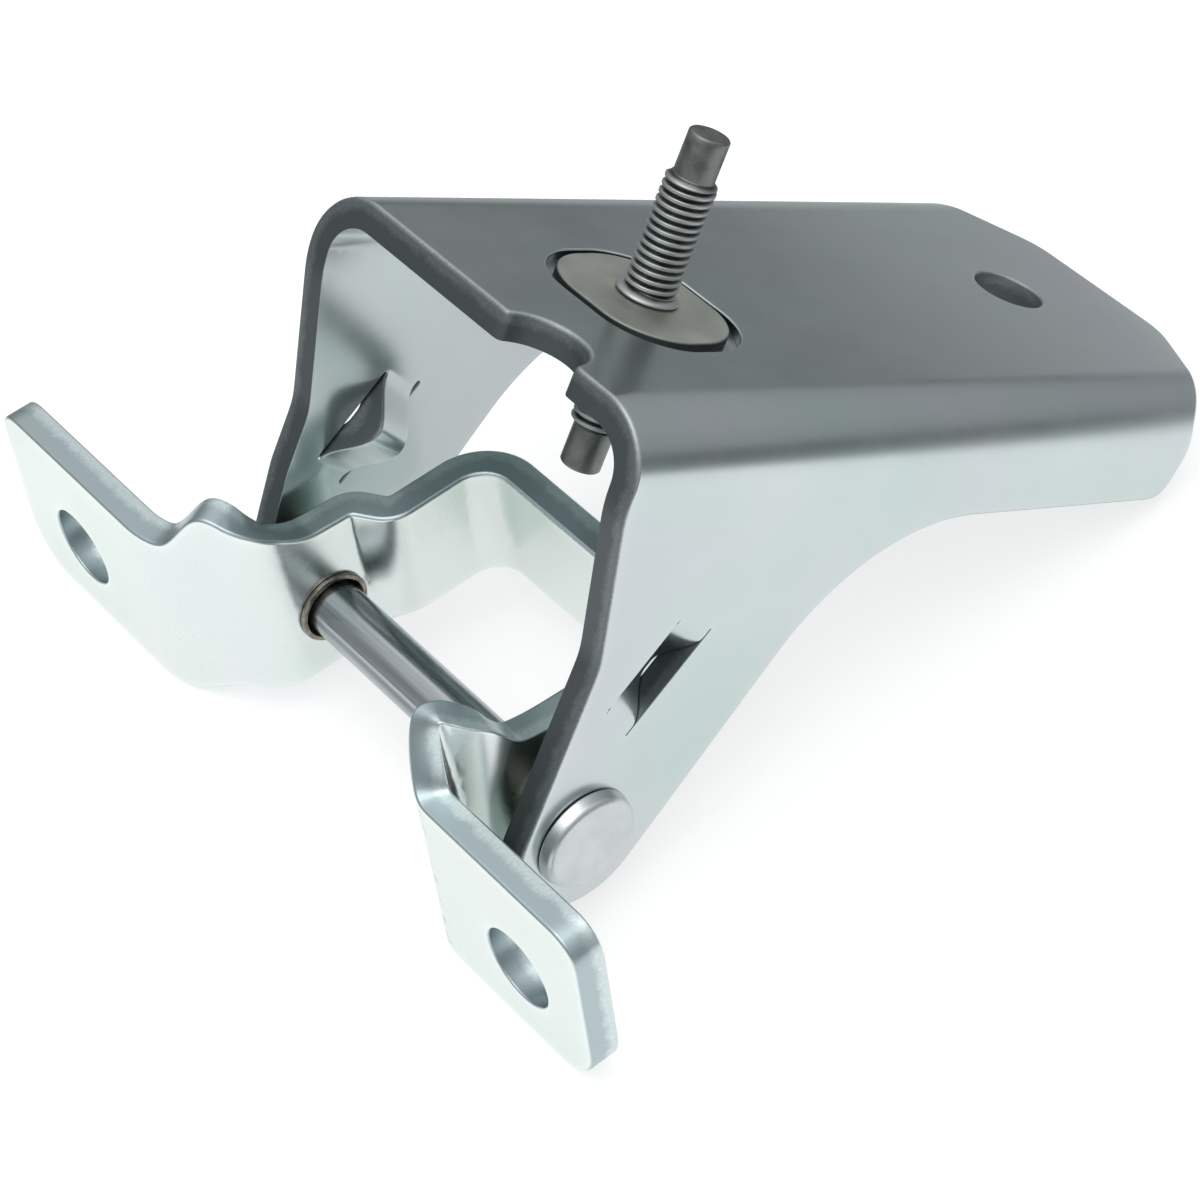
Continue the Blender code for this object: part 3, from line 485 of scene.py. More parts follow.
def shearedGroup():
    # cut edge of the plate: a burnished band, then a broken band, both with marks along the edge, and a
    # painted highlight in the lighter Rim colour near every edge
    scale = cutScale
    group, given, out = newGroup("sheared_edge", [
        ("Surface", 'NodeSocketColor', (0.6, 0.64, 0.66, 1.0)),
        ("Burnished", 'NodeSocketColor', (0.4, 0.43, 0.44, 1.0)),
        ("Broken", 'NodeSocketColor', (0.2, 0.21, 0.22, 1.0)),
        ("Rim", 'NodeSocketColor', (0.8, 0.84, 0.84, 1.0)),
        ("Surface Roughness", 'NodeSocketFloat', 0.25),
        ("Surface Height", 'NodeSocketFloat', 0.0),
        ("Edge Roughness", 'NodeSocketFloat', 0.5),
        ("Rim Amount", 'NodeSocketFloat', 0.35),
        ("Streak Height", 'NodeSocketFloat', 6.0),
        ("Grain Length", 'NodeSocketFloat', 2.0),
    ], [("Color", 'NodeSocketColor'), ("Roughness", 'NodeSocketFloat'), ("Height", 'NodeSocketFloat')])
    sheared = markNode(group, "sheared")
    along = markNode(group, "along")
    through = markNode(group, "through")
    rim = markNode(group, "rim")
    place = addNode(group, 'ShaderNodeCombineXYZ')
    feed(group, place, X=along, Y=mathNode(group, 'MULTIPLY', through, given["Grain Length"]))
    streaks = noiseNode(group, scale["streaks"], 4.0, coordinates=place.outputs[0], roughness=0.7)
    fineStreaks = noiseNode(group, scale["fine"], 3.0, coordinates=place.outputs[0], roughness=0.7)
    patches = noiseNode(group, scale["patches"], 3.0, coordinates=place.outputs[0])
    tilted = mathNode(group, 'MULTIPLY_ADD', patches, scale["wander"], through)
    ragged = mathNode(group, 'MULTIPLY_ADD', streaks, scale["ragged"], tilted)
    broken = rampNode(group, ragged, [(0.62, 0.0), (0.86, 1.0)])
    cut = mixColour(group, broken, given["Burnished"], given["Broken"])
    cut = mixColour(group, rampNode(group, streaks, [(0.3, 0.0), (0.7, 0.55)]), cut, given["Broken"])
    uneven = mathNode(group, 'SUBTRACT', streaks, 0.5)
    mask = rampNode(group, mathNode(group, 'MULTIPLY_ADD', uneven, scale["maskNoise"], sheared),
                    [(0.2, 0.0), (0.72, 1.0)])
    # painted highlight: the surface turns towards the lighter Rim colour near every edge, more so the nearer
    # it is
    paintedLightMask = mathNode(group, 'MULTIPLY', rim, given["Rim Amount"])
    face = mixColour(group, paintedLightMask, given["Surface"], given["Rim"])
    group.links.new(mixColour(group, mask, face, cut), out["Color"])
    flat = addNode(group, 'ShaderNodeMix', data_type='FLOAT')
    for index, source in ((0, mask), (2, given["Surface Roughness"]), (3, given["Edge Roughness"])):
        plug(group, source, flat.inputs[index])
    group.links.new(flat.outputs[0], out["Roughness"])
    rough = mathNode(group, 'MULTIPLY_ADD', fineStreaks, scale["fineShare"], streaks)
    rough = mathNode(group, 'MULTIPLY', mathNode(group, 'MULTIPLY', rough, mask), given["Streak Height"])
    group.links.new(mathNode(group, 'ADD', rough, given["Surface Height"]), out["Height"])
    return group


plating = platingGroup()
shearedEdge = shearedGroup()


def startMaterial(name, metallic=1.0):
    material = bpy.data.materials.new(name)
    material.use_nodes = True
    shader = material.node_tree.nodes["Principled BSDF"]
    shader.inputs["Metallic"].default_value = metallic
    return material, material.node_tree, shader


def finishMaterial(tree, shader, colour, roughness, height):
    # heights are in thousandths of a millimetre
    bump = addNode(tree, 'ShaderNodeBump')
    feed(tree, bump, Height=height, Strength=1.0, Distance=mm * mm)
    feed(tree, shader, Base_Color=colour, Roughness=roughness, Normal=bump.outputs[0])


def platedMaterial(name, look):
    material, tree, shader = startMaterial(name)
    surface = addNode(tree, 'ShaderNodeGroup', node_tree=plating)
    feed(tree, surface, Zinc=look["zinc"], Cool_Tint=look["cool"], Warm_Tint=look["warm"],
         Tint_Amount=look["tintAmount"], Base_Roughness=look["roughness"],
         Smudge_Amount=look["smudges"], Grain_Amount=look["grain"], Peel_Amount=look["peel"],
         Wave_Amount=look["wave"])
    edge = addNode(tree, 'ShaderNodeGroup', node_tree=shearedEdge)
    feed(tree, edge, Surface=surface.outputs[0], Surface_Roughness=surface.outputs[1],
         Surface_Height=surface.outputs[2], Burnished=look["burnished"], Broken=look["broken"],
         Rim=look["rim"], Edge_Roughness=look["edgeRoughness"], Rim_Amount=look["rimAmount"],
         Streak_Height=look["streaks"], Grain_Length=look["grainLength"])
    finishMaterial(tree, shader, edge.outputs[0], edge.outputs[1], edge.outputs[2])
    return material


leafZinc = platedMaterial("leaf_zinc", {
    "zinc": (0.58, 0.63, 0.63, 1.0),
    "cool": (0.50, 0.61, 0.58, 1.0),
    "warm": (0.56, 0.56, 0.62, 1.0),
    "tintAmount": 0.65,
    "roughness": 0.19,
    "smudges": 0.04,
    "grain": 0.3,
    "peel": 0.3,
    "wave": 0.8,
    "burnished": (0.26, 0.285, 0.29, 1.0),
    "broken": (0.13, 0.145, 0.15, 1.0),
    # rim and rimAmount give the painted highlight along the edges
    "rim": (0.66, 0.71, 0.71, 1.0),
    "rimAmount": 0.25,
    "edgeRoughness": 0.5,
    "streaks": 4.0,
    "grainLength": 4.0,
})

strapZinc = platedMaterial("strap_zinc", {
    "zinc": (0.74, 0.80, 0.77, 1.0),
    "cool": (0.66, 0.79, 0.75, 1.0),
    "warm": (0.75, 0.74, 0.78, 1.0),
    "tintAmount": 0.45,
    "roughness": 0.23,
    "smudges": 0.05,
    "grain": 0.35,
    "peel": 0.5,
    "wave": 2.0,
    # the cut edges are lightened past their own colour as a painted reflection of the bright floor
    "burnished": (0.70, 0.78, 0.78, 1.0),
    "broken": (0.42, 0.50, 0.52, 1.0),
    # rim and rimAmount give the painted highlight along the edges
    "rim": (0.88, 0.93, 0.92, 1.0),
    "rimAmount": 0.4,
    "edgeRoughness": 0.34,
    "streaks": 14.0,
    "grainLength": 2.8,
})
print("plated materials ready")


# Door leaf

leaf = {
    "plate": 4.5, "halfWidth": 36.25, "bend": 10.5, "height": 66.9, "front": -18.2, "rear": 118.8,
    "endFlat": 28.6, "endRadius": 12.0, "shoulder": (111.6, 27.0, 14.0), "hip": 106.4, "hipStep": 1.6,
    "cheekRear": 105.4, "cheekEdge": 49.4, "sweepRadius": 34.0, "cheekFront": -10.9, "kink": 29.5,
    "kinkRadius": 12.0, "taperTop": 57.0, "taperRadius": 20.0, "rearLean": math.radians(22.7),
    "endLean": 1.5, "endCorner": 3.5, "bossRadius": 11.9, "bossDrop": 1.2,
    "lobeRadius": 8.5, "lobeEnd": math.radians(328), "reliefTop": 19.0, "reliefSkin": 0.05,
    "notchRadius": 7.0, "notchMiddle": -11.4, "farHole": (94.7, -0.3), "farHoleRadius": 5.65,
    "pinHole": 4.62, "studHole": (12.5, -0.2), "studHoleRadius": 3.97,
    "pocket": (10.7, -1.5), "pocketSize": (24.9, 29.3), "pocketCorner": 10.8, "pocketDepth": 1.74,
    "softness": 0.75, "spacing": 0.55, "topEdge": 0.7, "bottomEdge": 0.14, "taperDrop": 2.9, "lap": 1.0,
    "seam": 0.01, "bossSteps": 30,
}
strip = {
    "middle": (1.3, 27.2), "lean": math.radians(26.7), "rearSlit": 19.0, "frontSlit": 15.6, "width": 7.2,
    "runPoints": 56, "endSteps": 6, "gap": 0.14, "outside": {"crest": 1.4, "arch": 16.2, "depth": 4.42},
    "inside": {"crest": 0.4, "arch": 17.4, "depth": 5.9},
}
flatHalf = leaf["halfWidth"] - leaf["bend"]
bendMiddle = leaf["bend"] - leaf["plate"] / 2
cheekStart = flatHalf + bendMiddle * math.pi / 2
bendFoot = leaf["height"] - leaf["bend"]


def cheekAcross(z):
    return cheekStart + bendFoot - z


def webAcross(y):
    # flat position of a point that lies at y on the outside of the channel
    share = np.clip((np.abs(y) - flatHalf) / leaf["bend"], 0.0, 1.0)
    return np.sign(y) * (np.minimum(np.abs(y), flatHalf) + bendMiddle * np.arcsin(share))


def stripAt(x, z):
    # along and across the strip for a point of the cheek
    fromX, fromZ = x - strip["middle"][0], z - strip["middle"][1]
    along = fromX * math.sin(strip["lean"]) + fromZ * math.cos(strip["lean"])
    across = fromX * math.cos(strip["lean"]) - fromZ * math.sin(strip["lean"])
    return along, across


def stripSpot(along, across):
    # and back again
    x = strip["middle"][0] + along * math.sin(strip["lean"]) + across * math.cos(strip["lean"])
    z = strip["middle"][1] + along * math.cos(strip["lean"]) - across * math.sin(strip["lean"])
    return x, z


def stripDepth(x, z, through):
    # the strip is thinned where it is stretched, so its two faces follow different arches
    along, across = stripAt(x, z)
    arches = []
    for face in (strip["outside"], strip["inside"]):
        share = (np.abs(along) - face["crest"] / 2) / (face["arch"] / 2 - face["crest"] / 2)
        share = np.clip(share, 0.0, 1.0)
        arches.append(face["depth"] * (1 - share * share * (3 - 2 * share)))
    arch = arches[0] + (arches[1] - arches[0]) * through
    return np.where(np.abs(across) < (strip["width"] + strip["gap"]) / 2, arch, 0.0)


def foldLeaf(spots):
    u, v, depth = spots[:, 0], spots[:, 1], spots[:, 2]
    side = np.where(v < 0, -1.0, 1.0)
    across = np.abs(v)
    angle = np.clip((across - flatHalf) / bendMiddle, 0.0, math.pi / 2)
    radius = leaf["bend"] - depth
    y = np.minimum(across, flatHalf) + radius * np.sin(angle)
    z = bendFoot + radius * np.cos(angle) - np.maximum(across - cheekStart, 0.0)
    pressed = np.where(across > cheekStart, stripDepth(u, z, depth / leaf["plate"]), 0.0)
    return np.column_stack((u, side * (y - pressed), z))


def nearCheek():
    lean = leaf["rearLean"]
    bossCentre = np.array((leaf["cheekFront"] + leaf["bossRadius"], -leaf["bossDrop"]))
    bossReach = leaf["bossRadius"] / math.tan(lean / 2)
    tangent = bossCentre + leaf["bossRadius"] * np.array((math.cos(lean), -math.sin(lean)))
    rise = (leaf["cheekEdge"] - tangent[1]) / math.cos(lean)
    sweepCorner = tangent[0] + math.sin(lean) * rise
    points, _, _ = roundCorners([
        (leaf["front"], bendFoot + leaf["lap"], 0.0),
        (leaf["front"], leaf["taperTop"] - leaf["taperDrop"], leaf["taperRadius"]),
        (leaf["cheekFront"], leaf["kink"], leaf["kinkRadius"]),
        (leaf["cheekFront"], bossCentre[1] - bossReach, leaf["bossRadius"]),
        (sweepCorner, leaf["cheekEdge"], leaf["sweepRadius"]),
        (leaf["cheekRear"] - leaf["endLean"], leaf["cheekEdge"], leaf["endCorner"]),
        (leaf["cheekRear"], bendFoot, 0.0),
    ], closed=False)
    return points, bossCentre, tangent


def farCheek():
    # the far lobe is smaller, so that it passes the strap
    points, bossCentre, tangent = nearCheek()
    corner = np.array((leaf["cheekFront"] - leaf["reliefSkin"], leaf["reliefTop"]))
    start = math.atan2(corner[1], corner[0]) + math.acos(leaf["lobeRadius"] / np.linalg.norm(corner))
    lobe = arcPoints((0.0, 0.0), leaf["lobeRadius"], start, leaf["lobeEnd"])
    stepX = lobe[-1][0]
    stepAngle = -math.acos((stepX - bossCentre[0]) / leaf["bossRadius"])
    boss = arcPoints(bossCentre, leaf["bossRadius"], stepAngle, -leaf["rearLean"], leaf["bossSteps"])
    above = points[(points[:, 0] < 0) & (points[:, 1] > leaf["reliefTop"])]
    after = points[(points[:, 0] > tangent[0] + leaf["seam"]) & (points[:, 1] > tangent[1])]
    return np.vstack((above, corner[None, :], lobe, boss, after))


def leafBorder():
    near, _, _ = nearCheek()
    far = farCheek()
    notch = arcPoints((leaf["front"], leaf["notchMiddle"]), leaf["notchRadius"], math.pi / 2, -math.pi / 2)
    start = cheekStart - leaf["lap"]
    front = np.vstack(([(leaf["front"], start)], notch, [(leaf["front"], -start)]))
    hipY = leaf["halfWidth"] - leaf["hipStep"]
    shoulderX, shoulderY, shoulderRadius = leaf["shoulder"]
    end = leaf["endFlat"] / 2
    rear, _, _ = roundCorners([
        (leaf["hip"], -hipY, 0.0),
        (shoulderX, -shoulderY, shoulderRadius),
        (leaf["rear"], -end, leaf["endRadius"]),
        (leaf["rear"], end, leaf["endRadius"]),
        (shoulderX, shoulderY, shoulderRadius),
        (leaf["hip"], hipY, 0.0),
    ], closed=False)
    rear = np.column_stack((rear[:, 0], webAcross(rear[:, 1])))
    nearFlat = np.column_stack((near[:, 0], -cheekAcross(near[:, 1])))
    farFlat = np.column_stack((far[:, 0], cheekAcross(far[:, 1])))
    whole = np.vstack((front, nearFlat, rear, farFlat[::-1]))
    return softenLoop(asBorder(whole), leaf["softness"], leaf["spacing"])


def slitLoop(side, sign):
    # one lanced cut beside the pressed strip
    half = strip["gap"] / 2
    middle = sign * (strip["width"] / 2 + half)
    reach = strip["rearSlit" if sign > 0 else "frontSlit"] / 2 - half
    run = np.linspace(-reach, reach, strip["runPoints"])
    right = arcPoints((reach, 0.0), half, -math.pi / 2, math.pi / 2, strip["endSteps"])
    left = arcPoints((-reach, 0.0), half, math.pi / 2, 3 * math.pi / 2, strip["endSteps"])
    ring = np.vstack((np.column_stack((run, np.full(len(run), -half))), right[1:],
                      np.column_stack((run[::-1], np.full(len(run), half)))[1:], left[1:-1]))
    x, z = stripSpot(ring[:, 0], ring[:, 1] + middle)
    return asHole(np.column_stack((x, side * cheekAcross(z))))


# edges are (top rounding, bottom rounding); grids are (step along, step across)
leafMesh = {"pinEdge": (0.32, 0.25), "slitEdge": (0.14, 0.45), "holeEdge": (0.5, 0.3), "pocketEdge": 0.3,
            "pocketStep": 0.08, "studEdge": (0.1, 0.25), "sheet": (2.6, 2.4), "bend": (2.0, 0.6),
            "strip": (0.6, 0.6), "stripHalf": (11.0, 4.6), "ends": (-20.0, 120.0), "bendFront": -19.0,
            "bendLap": 0.2, "bendReach": 1.65, "stripClear": 0.3, "bendClear": 0.5, "sheetClear": 1.6,
            "pocketClear": 1.2}


def buildLeaf():
    blank = newBlank()
    plate = leaf["plate"]
    broad = edgeProfile(leaf["topEdge"], leaf["bottomEdge"], 0.0, plate)
    fineEdge = edgeProfile(*leafMesh["pinEdge"], 0.0, plate)
    slitEdge = edgeProfile(*leafMesh["slitEdge"], 0.0, plate)
    holeEdge = edgeProfile(*leafMesh["holeEdge"], 0.0, plate)
    top, bottom = [], []
    border = [(leafBorder(), broad)]
    border.append((asHole(circleLoop(leaf["farHole"], leaf["farHoleRadius"])), holeEdge))
    for side in (-1, 1):
        border.append((asHole(circleLoop((0.0, side * cheekAcross(0.0)), leaf["pinHole"])), fineEdge))
        for sign in (-1, 1):
            border.append((slitLoop(side, sign), slitEdge))
    for loop, rows in border:
        upper, lower = addEdge(blank, loop, rows)
        top.append(upper)
        bottom.append(lower)
    oval = ovalLoop(leaf["pocket"], leaf["pocketSize"], leaf["pocketCorner"])
    # the pressed wall ends in a ring of its own that faces up with the pocket's floor
    pocketRows = edgeProfile(leafMesh["pocketEdge"], 0.0, 0.0, leaf["pocketDepth"])[:-turnSteps]
    pocketRows.append((-leafMesh["pocketStep"], leaf["pocketDepth"], 0.0, 1.0))
    pocketTop, pocketFoot = addEdge(blank, asHole(oval), pocketRows, 0.0)
    studRows = edgeProfile(*leafMesh["studEdge"], leaf["pocketDepth"], plate)
    studTop, studFoot = addEdge(blank, asHole(circleLoop(leaf["studHole"], leaf["studHoleRadius"])), studRows)
    first, last = leafMesh["ends"]
    edge = cheekAcross(first)
    coarse = gridPoints((first, -edge), (last, edge), *leafMesh["sheet"])
    lap = flatHalf - leafMesh["bendLap"]
    wide = bendMiddle * leafMesh["bendReach"]
    bends = [gridPoints((leafMesh["bendFront"], lap), (last, lap + wide), *leafMesh["bend"]),
             gridPoints((leafMesh["bendFront"], -lap - wide), (last, -lap), *leafMesh["bend"])]
    halfAlong, halfAcross = leafMesh["stripHalf"]
    fine = gridPoints((-halfAlong, -halfAcross), (halfAlong, halfAcross), *leafMesh["strip"])
    px, pz = stripSpot(fine[:, 0], fine[:, 1])
    strips = [np.column_stack((px, side * cheekAcross(pz))) for side in (-1, 1)]
    grids = [(grid, leafMesh["stripClear"]) for grid in strips]
    grids += [(grid, leafMesh["bendClear"]) for grid in bends]
    grids.append((coarse, leafMesh["sheetClear"]))
    addFlat(blank, top + [pocketTop], grids, 0.0, 1.0)
    addFlat(blank, bottom + [studFoot], grids, plate, -1.0)
    addFlat(blank, [pocketFoot, studTop], [(coarse, leafMesh["pocketClear"])], leaf["pocketDepth"], 1.0)
    return foldBlank("door_leaf_plate", blank, foldLeaf, leafPlace, "door_side", "door_leaf", leafZinc)


buildLeaf()


# Pillar strap

strap = {
    "plate": 5.0, "footFace": -19.75, "footTop": 15.2, "footBottom": -17.5,
    "leftEnd": 81.5, "rightEnd": -61.2, "cornerLow": 8.5, "cornerHigh": 5.0,
    "armMiddle": 26.65, "armBottom": -12.0, "rearMiddle": 20.9, "rearBottom": -5.8,
    "jogFront": 7.6, "jogRear": 11.4, "jogRadius": 3.6, "bridge": 29.7, "bridgeRadius": 7.5,
    "crossGap": 0.5, "crossLean": math.radians(27.0), "crossRadius": 16.0, "leftArmRadius": 5.5,
    "rightJogShift": 6.0,
    "driftStart": -7.2, "driftLean": math.radians(28.0), "driftRadius": 8.0, "rightFootRadius": 4.4,
    "holeRadius": 6.6, "holeHeight": -3.9, "leftHole": 64.6, "rightHole": -45.6,
    "bushHole": 5.41, "cheekInside": 31.75,
    "softness": 0.7, "spacing": 0.55, "backEdge": 0.4, "frontEdge": 0.6, "edgeStep": 0.3, "curlPoints": 40,
}
ears = {
    "left": 24.0, "leftStart": 2.0, "leftLead": 5.5, "leftFall": 9.0,
    "right": 26.0, "rightFlank": (5.9, 23.4), "rightToe": (11.0, 17.0), "rightLead": 1.5,
    "rightRise": 18.0, "rightFall": 5.5, "swell": 0.6, "lead": 1.0, "reach": 3.0, "run": 7.0,
    "lean": 1.6, "leanReach": 9.0, "leanFoot": -5.0,
}


def strapLine():
    # centre line in plan, with the same folds as the solid
    footMiddle = strap["footFace"] + strap["plate"] / 2
    ahead = np.array((math.sin(strap["crossLean"]), -math.cos(strap["crossLean"])))
    back = np.array((-leaf["lobeRadius"] - strap["crossGap"], strap["cheekInside"]))
    middle = back - np.array((-ahead[1], ahead[0])) * strap["plate"] / 2
    arm = middle + ahead * (middle[1] - strap["armMiddle"]) / -ahead[1]
    foot = arm + ahead * (footMiddle - arm[0]) / ahead[0]
    drift = (strap["driftStart"] - footMiddle) * math.tan(strap["driftLean"])
    rear, bridge = strap["rearMiddle"], strap["bridge"]
    corners = [
        (footMiddle, strap["leftEnd"], 0.0), (foot[0], foot[1], strap["crossRadius"]),
        (arm[0], arm[1], strap["leftArmRadius"]),
        (strap["jogFront"], strap["armMiddle"], strap["jogRadius"]),
        (strap["jogRear"], rear, strap["jogRadius"]),
        (bridge, rear, strap["bridgeRadius"]), (bridge, -rear, strap["bridgeRadius"]),
        (strap["jogRear"] + strap["rightJogShift"], -rear, strap["jogRadius"]),
        (strap["jogFront"] + strap["rightJogShift"], -strap["armMiddle"], strap["jogRadius"]),
        (strap["driftStart"], -strap["armMiddle"], strap["driftRadius"]),
        (footMiddle, -strap["armMiddle"] + drift, strap["rightFootRadius"]),
        (footMiddle, strap["rightEnd"], 0.0),
    ]
    points, sides, middles = roundCorners(corners, closed=False)
    lengths = np.concatenate(([0.0], np.cumsum(np.linalg.norm(np.diff(points, axis=0), axis=1))))
    names = ("leftEnd", "leftFoot", "leftArm", "leftJog", "leftRear", "leftBridge", "rightBridge",
             "rightRear", "rightJog", "rightArm", "rightFoot", "rightEnd")
    stops = {name: lengths[index] for name, index in zip(names, middles)}
    headings = np.unwrap(np.arctan2(sides[:, 1], sides[:, 0]))
    return points, headings, lengths, stops


linePoints, lineHeadings, lineLengths, lineStops = strapLine()
strapLength = lineLengths[-1]


def foldStrap(spots):
    heading = np.interp(spots[:, 0], lineLengths, lineHeadings)
    offset = spots[:, 2] - strap["plate"] / 2
    x = np.interp(spots[:, 0], lineLengths, linePoints[:, 0]) + np.cos(heading) * offset
    y = np.interp(spots[:, 0], lineLengths, linePoints[:, 1]) + np.sin(heading) * offset
    near = np.clip(1 - np.abs(spots[:, 0] - lineStops["rightFoot"]) / ears["leanReach"], 0.0, 1.0)
    rise = np.clip((spots[:, 1] - ears["leanFoot"]) / (ears["right"] - ears["leanFoot"]), 0.0, 1.0)
    y = y + ears["lean"] * near * near * (3 - 2 * near) * rise ** 2
    return np.column_stack((x, y, spots[:, 1]))


def strapEdges():
    stops = lineStops
    bridge = (stops["leftBridge"] + stops["rightBridge"]) / 2
    leftEar = stops["leftArm"] - ears["leftLead"]
    rightEar = stops["rightFoot"] - ears["rightLead"]
    footTop, footBottom = strap["footTop"], strap["footBottom"]
    armBottom, rearBottom, swell = strap["armBottom"], strap["rearBottom"], ears["swell"]
    top = [
        (stops["leftFoot"] + ears["leftStart"], footTop), (leftEar, ears["left"]),
        (stops["leftArm"] + ears["leftFall"], footTop + swell), (stops["leftRear"], footTop),
        (bridge, footTop), (stops["rightRear"], footTop),
        (rightEar - ears["rightRise"], footTop + swell),
        (rightEar - ears["rightToe"][0], ears["rightToe"][1]),
        (rightEar - ears["rightFlank"][0], ears["rightFlank"][1]),
        (rightEar, ears["right"]), (rightEar + ears["rightFall"], footTop),
    ]
    bottom = [
        (stops["leftFoot"] + ears["lead"], footBottom),
        (stops["leftArm"] - ears["reach"], armBottom - swell),
        (stops["leftArm"] + ears["run"], armBottom), (stops["leftJog"] - ears["lead"], armBottom),
        (stops["leftRear"] + ears["lead"], rearBottom), (bridge, rearBottom),
        (stops["rightRear"] - ears["lead"], rearBottom), (stops["rightJog"] + ears["lead"], armBottom),
        (stops["rightArm"] - ears["reach"], armBottom), (stops["rightFoot"] + ears["reach"], footBottom),
    ]
    return top, bottom


def strapBorder():
    top, bottom = strapEdges()
    curl = 1 - np.cos(np.linspace(0.0, math.pi / 2, strap["curlPoints"]))
    places = [np.arange(0.0, strapLength, strap["edgeStep"])]
    for radius in (strap["cornerLow"], strap["cornerHigh"]):
        places += [curl * radius, strapLength - curl * radius]
    places = np.unique(np.concatenate(places))
    fromEnd = np.minimum(places, strapLength - places)

    def trim(radius):
        inner = np.clip(radius - fromEnd, 0.0, radius)
        return radius - np.sqrt(np.maximum(radius ** 2 - inner ** 2, 0.0))

    high = np.array([fair(top, place) for place in places]) - trim(strap["cornerHigh"])
    low = np.array([fair(bottom, place) for place in places]) + trim(strap["cornerLow"])
    loop = np.vstack((np.column_stack((places, low)), np.column_stack((places, high))[::-1]))
    return softenLoop(asBorder(loop), strap["softness"], strap["spacing"])


strapMesh = {"holeEdge": 0.45, "bushEdge": 0.25, "sheet": (2.2, 2.4), "fold": (0.5, 2.0),
             "bridgeReach": 7.2, "foldReach": 4.0, "foldClear": 0.5, "sheetClear": 1.6}


def buildStrap():
    blank = newBlank()
    plate = strap["plate"]
    rows = edgeProfile(strap["backEdge"], strap["frontEdge"], 0.0, plate)
    holeRows = edgeProfile(strapMesh["holeEdge"], strapMesh["holeEdge"], 0.0, plate)
    bushRows = edgeProfile(strapMesh["bushEdge"], strapMesh["bushEdge"], 0.0, plate)
    flatX = linePoints[:, 0]
    leftRange = (lineLengths > lineStops["leftArm"]) & (lineLengths < lineStops["leftJog"])
    rightRange = (lineLengths > lineStops["rightJog"]) & (lineLengths < lineStops["rightArm"])
    leftPin = np.interp(0.0, flatX[leftRange], lineLengths[leftRange])
    rightPin = np.interp(0.0, flatX[rightRange][::-1], lineLengths[rightRange][::-1])
    holes = [
        ((strap["leftEnd"] - strap["leftHole"], strap["holeHeight"]), strap["holeRadius"], holeRows),
        ((strapLength - strap["rightHole"] + strap["rightEnd"], strap["holeHeight"]),
         strap["holeRadius"], holeRows),
        ((leftPin, 0.0), strap["bushHole"], bushRows),
        ((rightPin, 0.0), strap["bushHole"], bushRows),
    ]
    outer, inner = addEdge(blank, strapBorder(), rows)
    back, front = [outer], [inner]
    for centre, radius, profile in holes:
        outer, inner = addEdge(blank, asHole(circleLoop(centre, radius)), profile)
        back.append(outer)
        front.append(inner)
    coarse = gridPoints((0.0, strap["footBottom"]), (strapLength, ears["right"]), *strapMesh["sheet"])
    grids = []
    for stop, middle in lineStops.items():
        if stop.endswith("End"):
            continue
        reach = strapMesh["bridgeReach" if "Bridge" in stop else "foldReach"]
        fold = gridPoints((middle - reach, strap["footBottom"]), (middle + reach, ears["right"]),
                          *strapMesh["fold"])
        grids.append((fold, strapMesh["foldClear"]))
    grids.append((coarse, strapMesh["sheetClear"]))
    addFlat(blank, back, grids, 0.0, 1.0)
    addFlat(blank, front, grids, plate, -1.0)
    return foldBlank("pillar_strap_plate", blank, foldStrap, strapPlace, "pillar_side", "pillar_strap",
                     strapZinc)


buildStrap()


# Turned pieces

def turnPiece(name, corners, place, body, node, material, steps=96, closed=False,
              hub=0.001):
    # corners are (radius, height, rounding) with the metal on the left of the way along
    profile, sides, _ = roundCorners(corners, closed=closed, steps=6)
    angles = np.arange(steps) * math.tau / steps
    rings, points, normals, marks = [], [], [], []
    total = 0
    for (radius, height), (out, up) in zip(profile, sides):
        count = 1 if radius < hub else steps
        spin = angles[:count]
        points.append(np.column_stack((radius * np.cos(spin), radius * np.sin(spin), np.full(count, height))))
        normals.append(np.column_stack((out * np.cos(spin), out * np.sin(spin), np.full(count, up))))
        flat = np.zeros(count)
        marks.append(np.column_stack((flat, spin * radius, np.full(count, height), flat)))
        rings.append(np.arange(total, total + count))
        total += count
    faces = []
    pairs = list(zip(rings, rings[1:]))
    if closed:
        pairs.append((rings[-1], rings[0]))
    for near, far in pairs:
        for step in range(steps):
            after = (step + 1) % steps
            corner = [near[step % len(near)], near[after % len(near)], far[after % len(far)],
                      far[step % len(far)]]
            faces.append([int(spot) for spot in dict.fromkeys(corner)])
    return meshPiece(name, np.vstack(points) * mm, np.vstack(normals), faces, np.vstack(marks), place, body,
                     node, material)


def turnedMaterial(name, look):
    # turned metal with fine marks round it
    material, tree, shader = startMaterial(name)
    clouds = noiseNode(tree, look["cloudScale"], 3.0)
    streaks = noiseNode(tree, look["streakScale"], 3.0, look["streakStretch"])
    shade = mathNode(tree, 'MULTIPLY_ADD', streaks, 0.6, mathNode(tree, 'MULTIPLY', clouds, 0.4))
    colour = mixColour(tree, rampNode(tree, shade, [(0.36, 0.0), (0.64, 1.0)]), look["dark"], look["light"])
    rough = mathNode(tree, 'MULTIPLY_ADD', streaks, look["roughnessSpread"], look["roughness"])
    fine = noiseNode(tree, look["grainScale"], 2.0)
    finishMaterial(tree, shader, colour, rough,
                   addHeights(tree, fine, look["grain"], streaks, look["streakHeight"]))
    return material


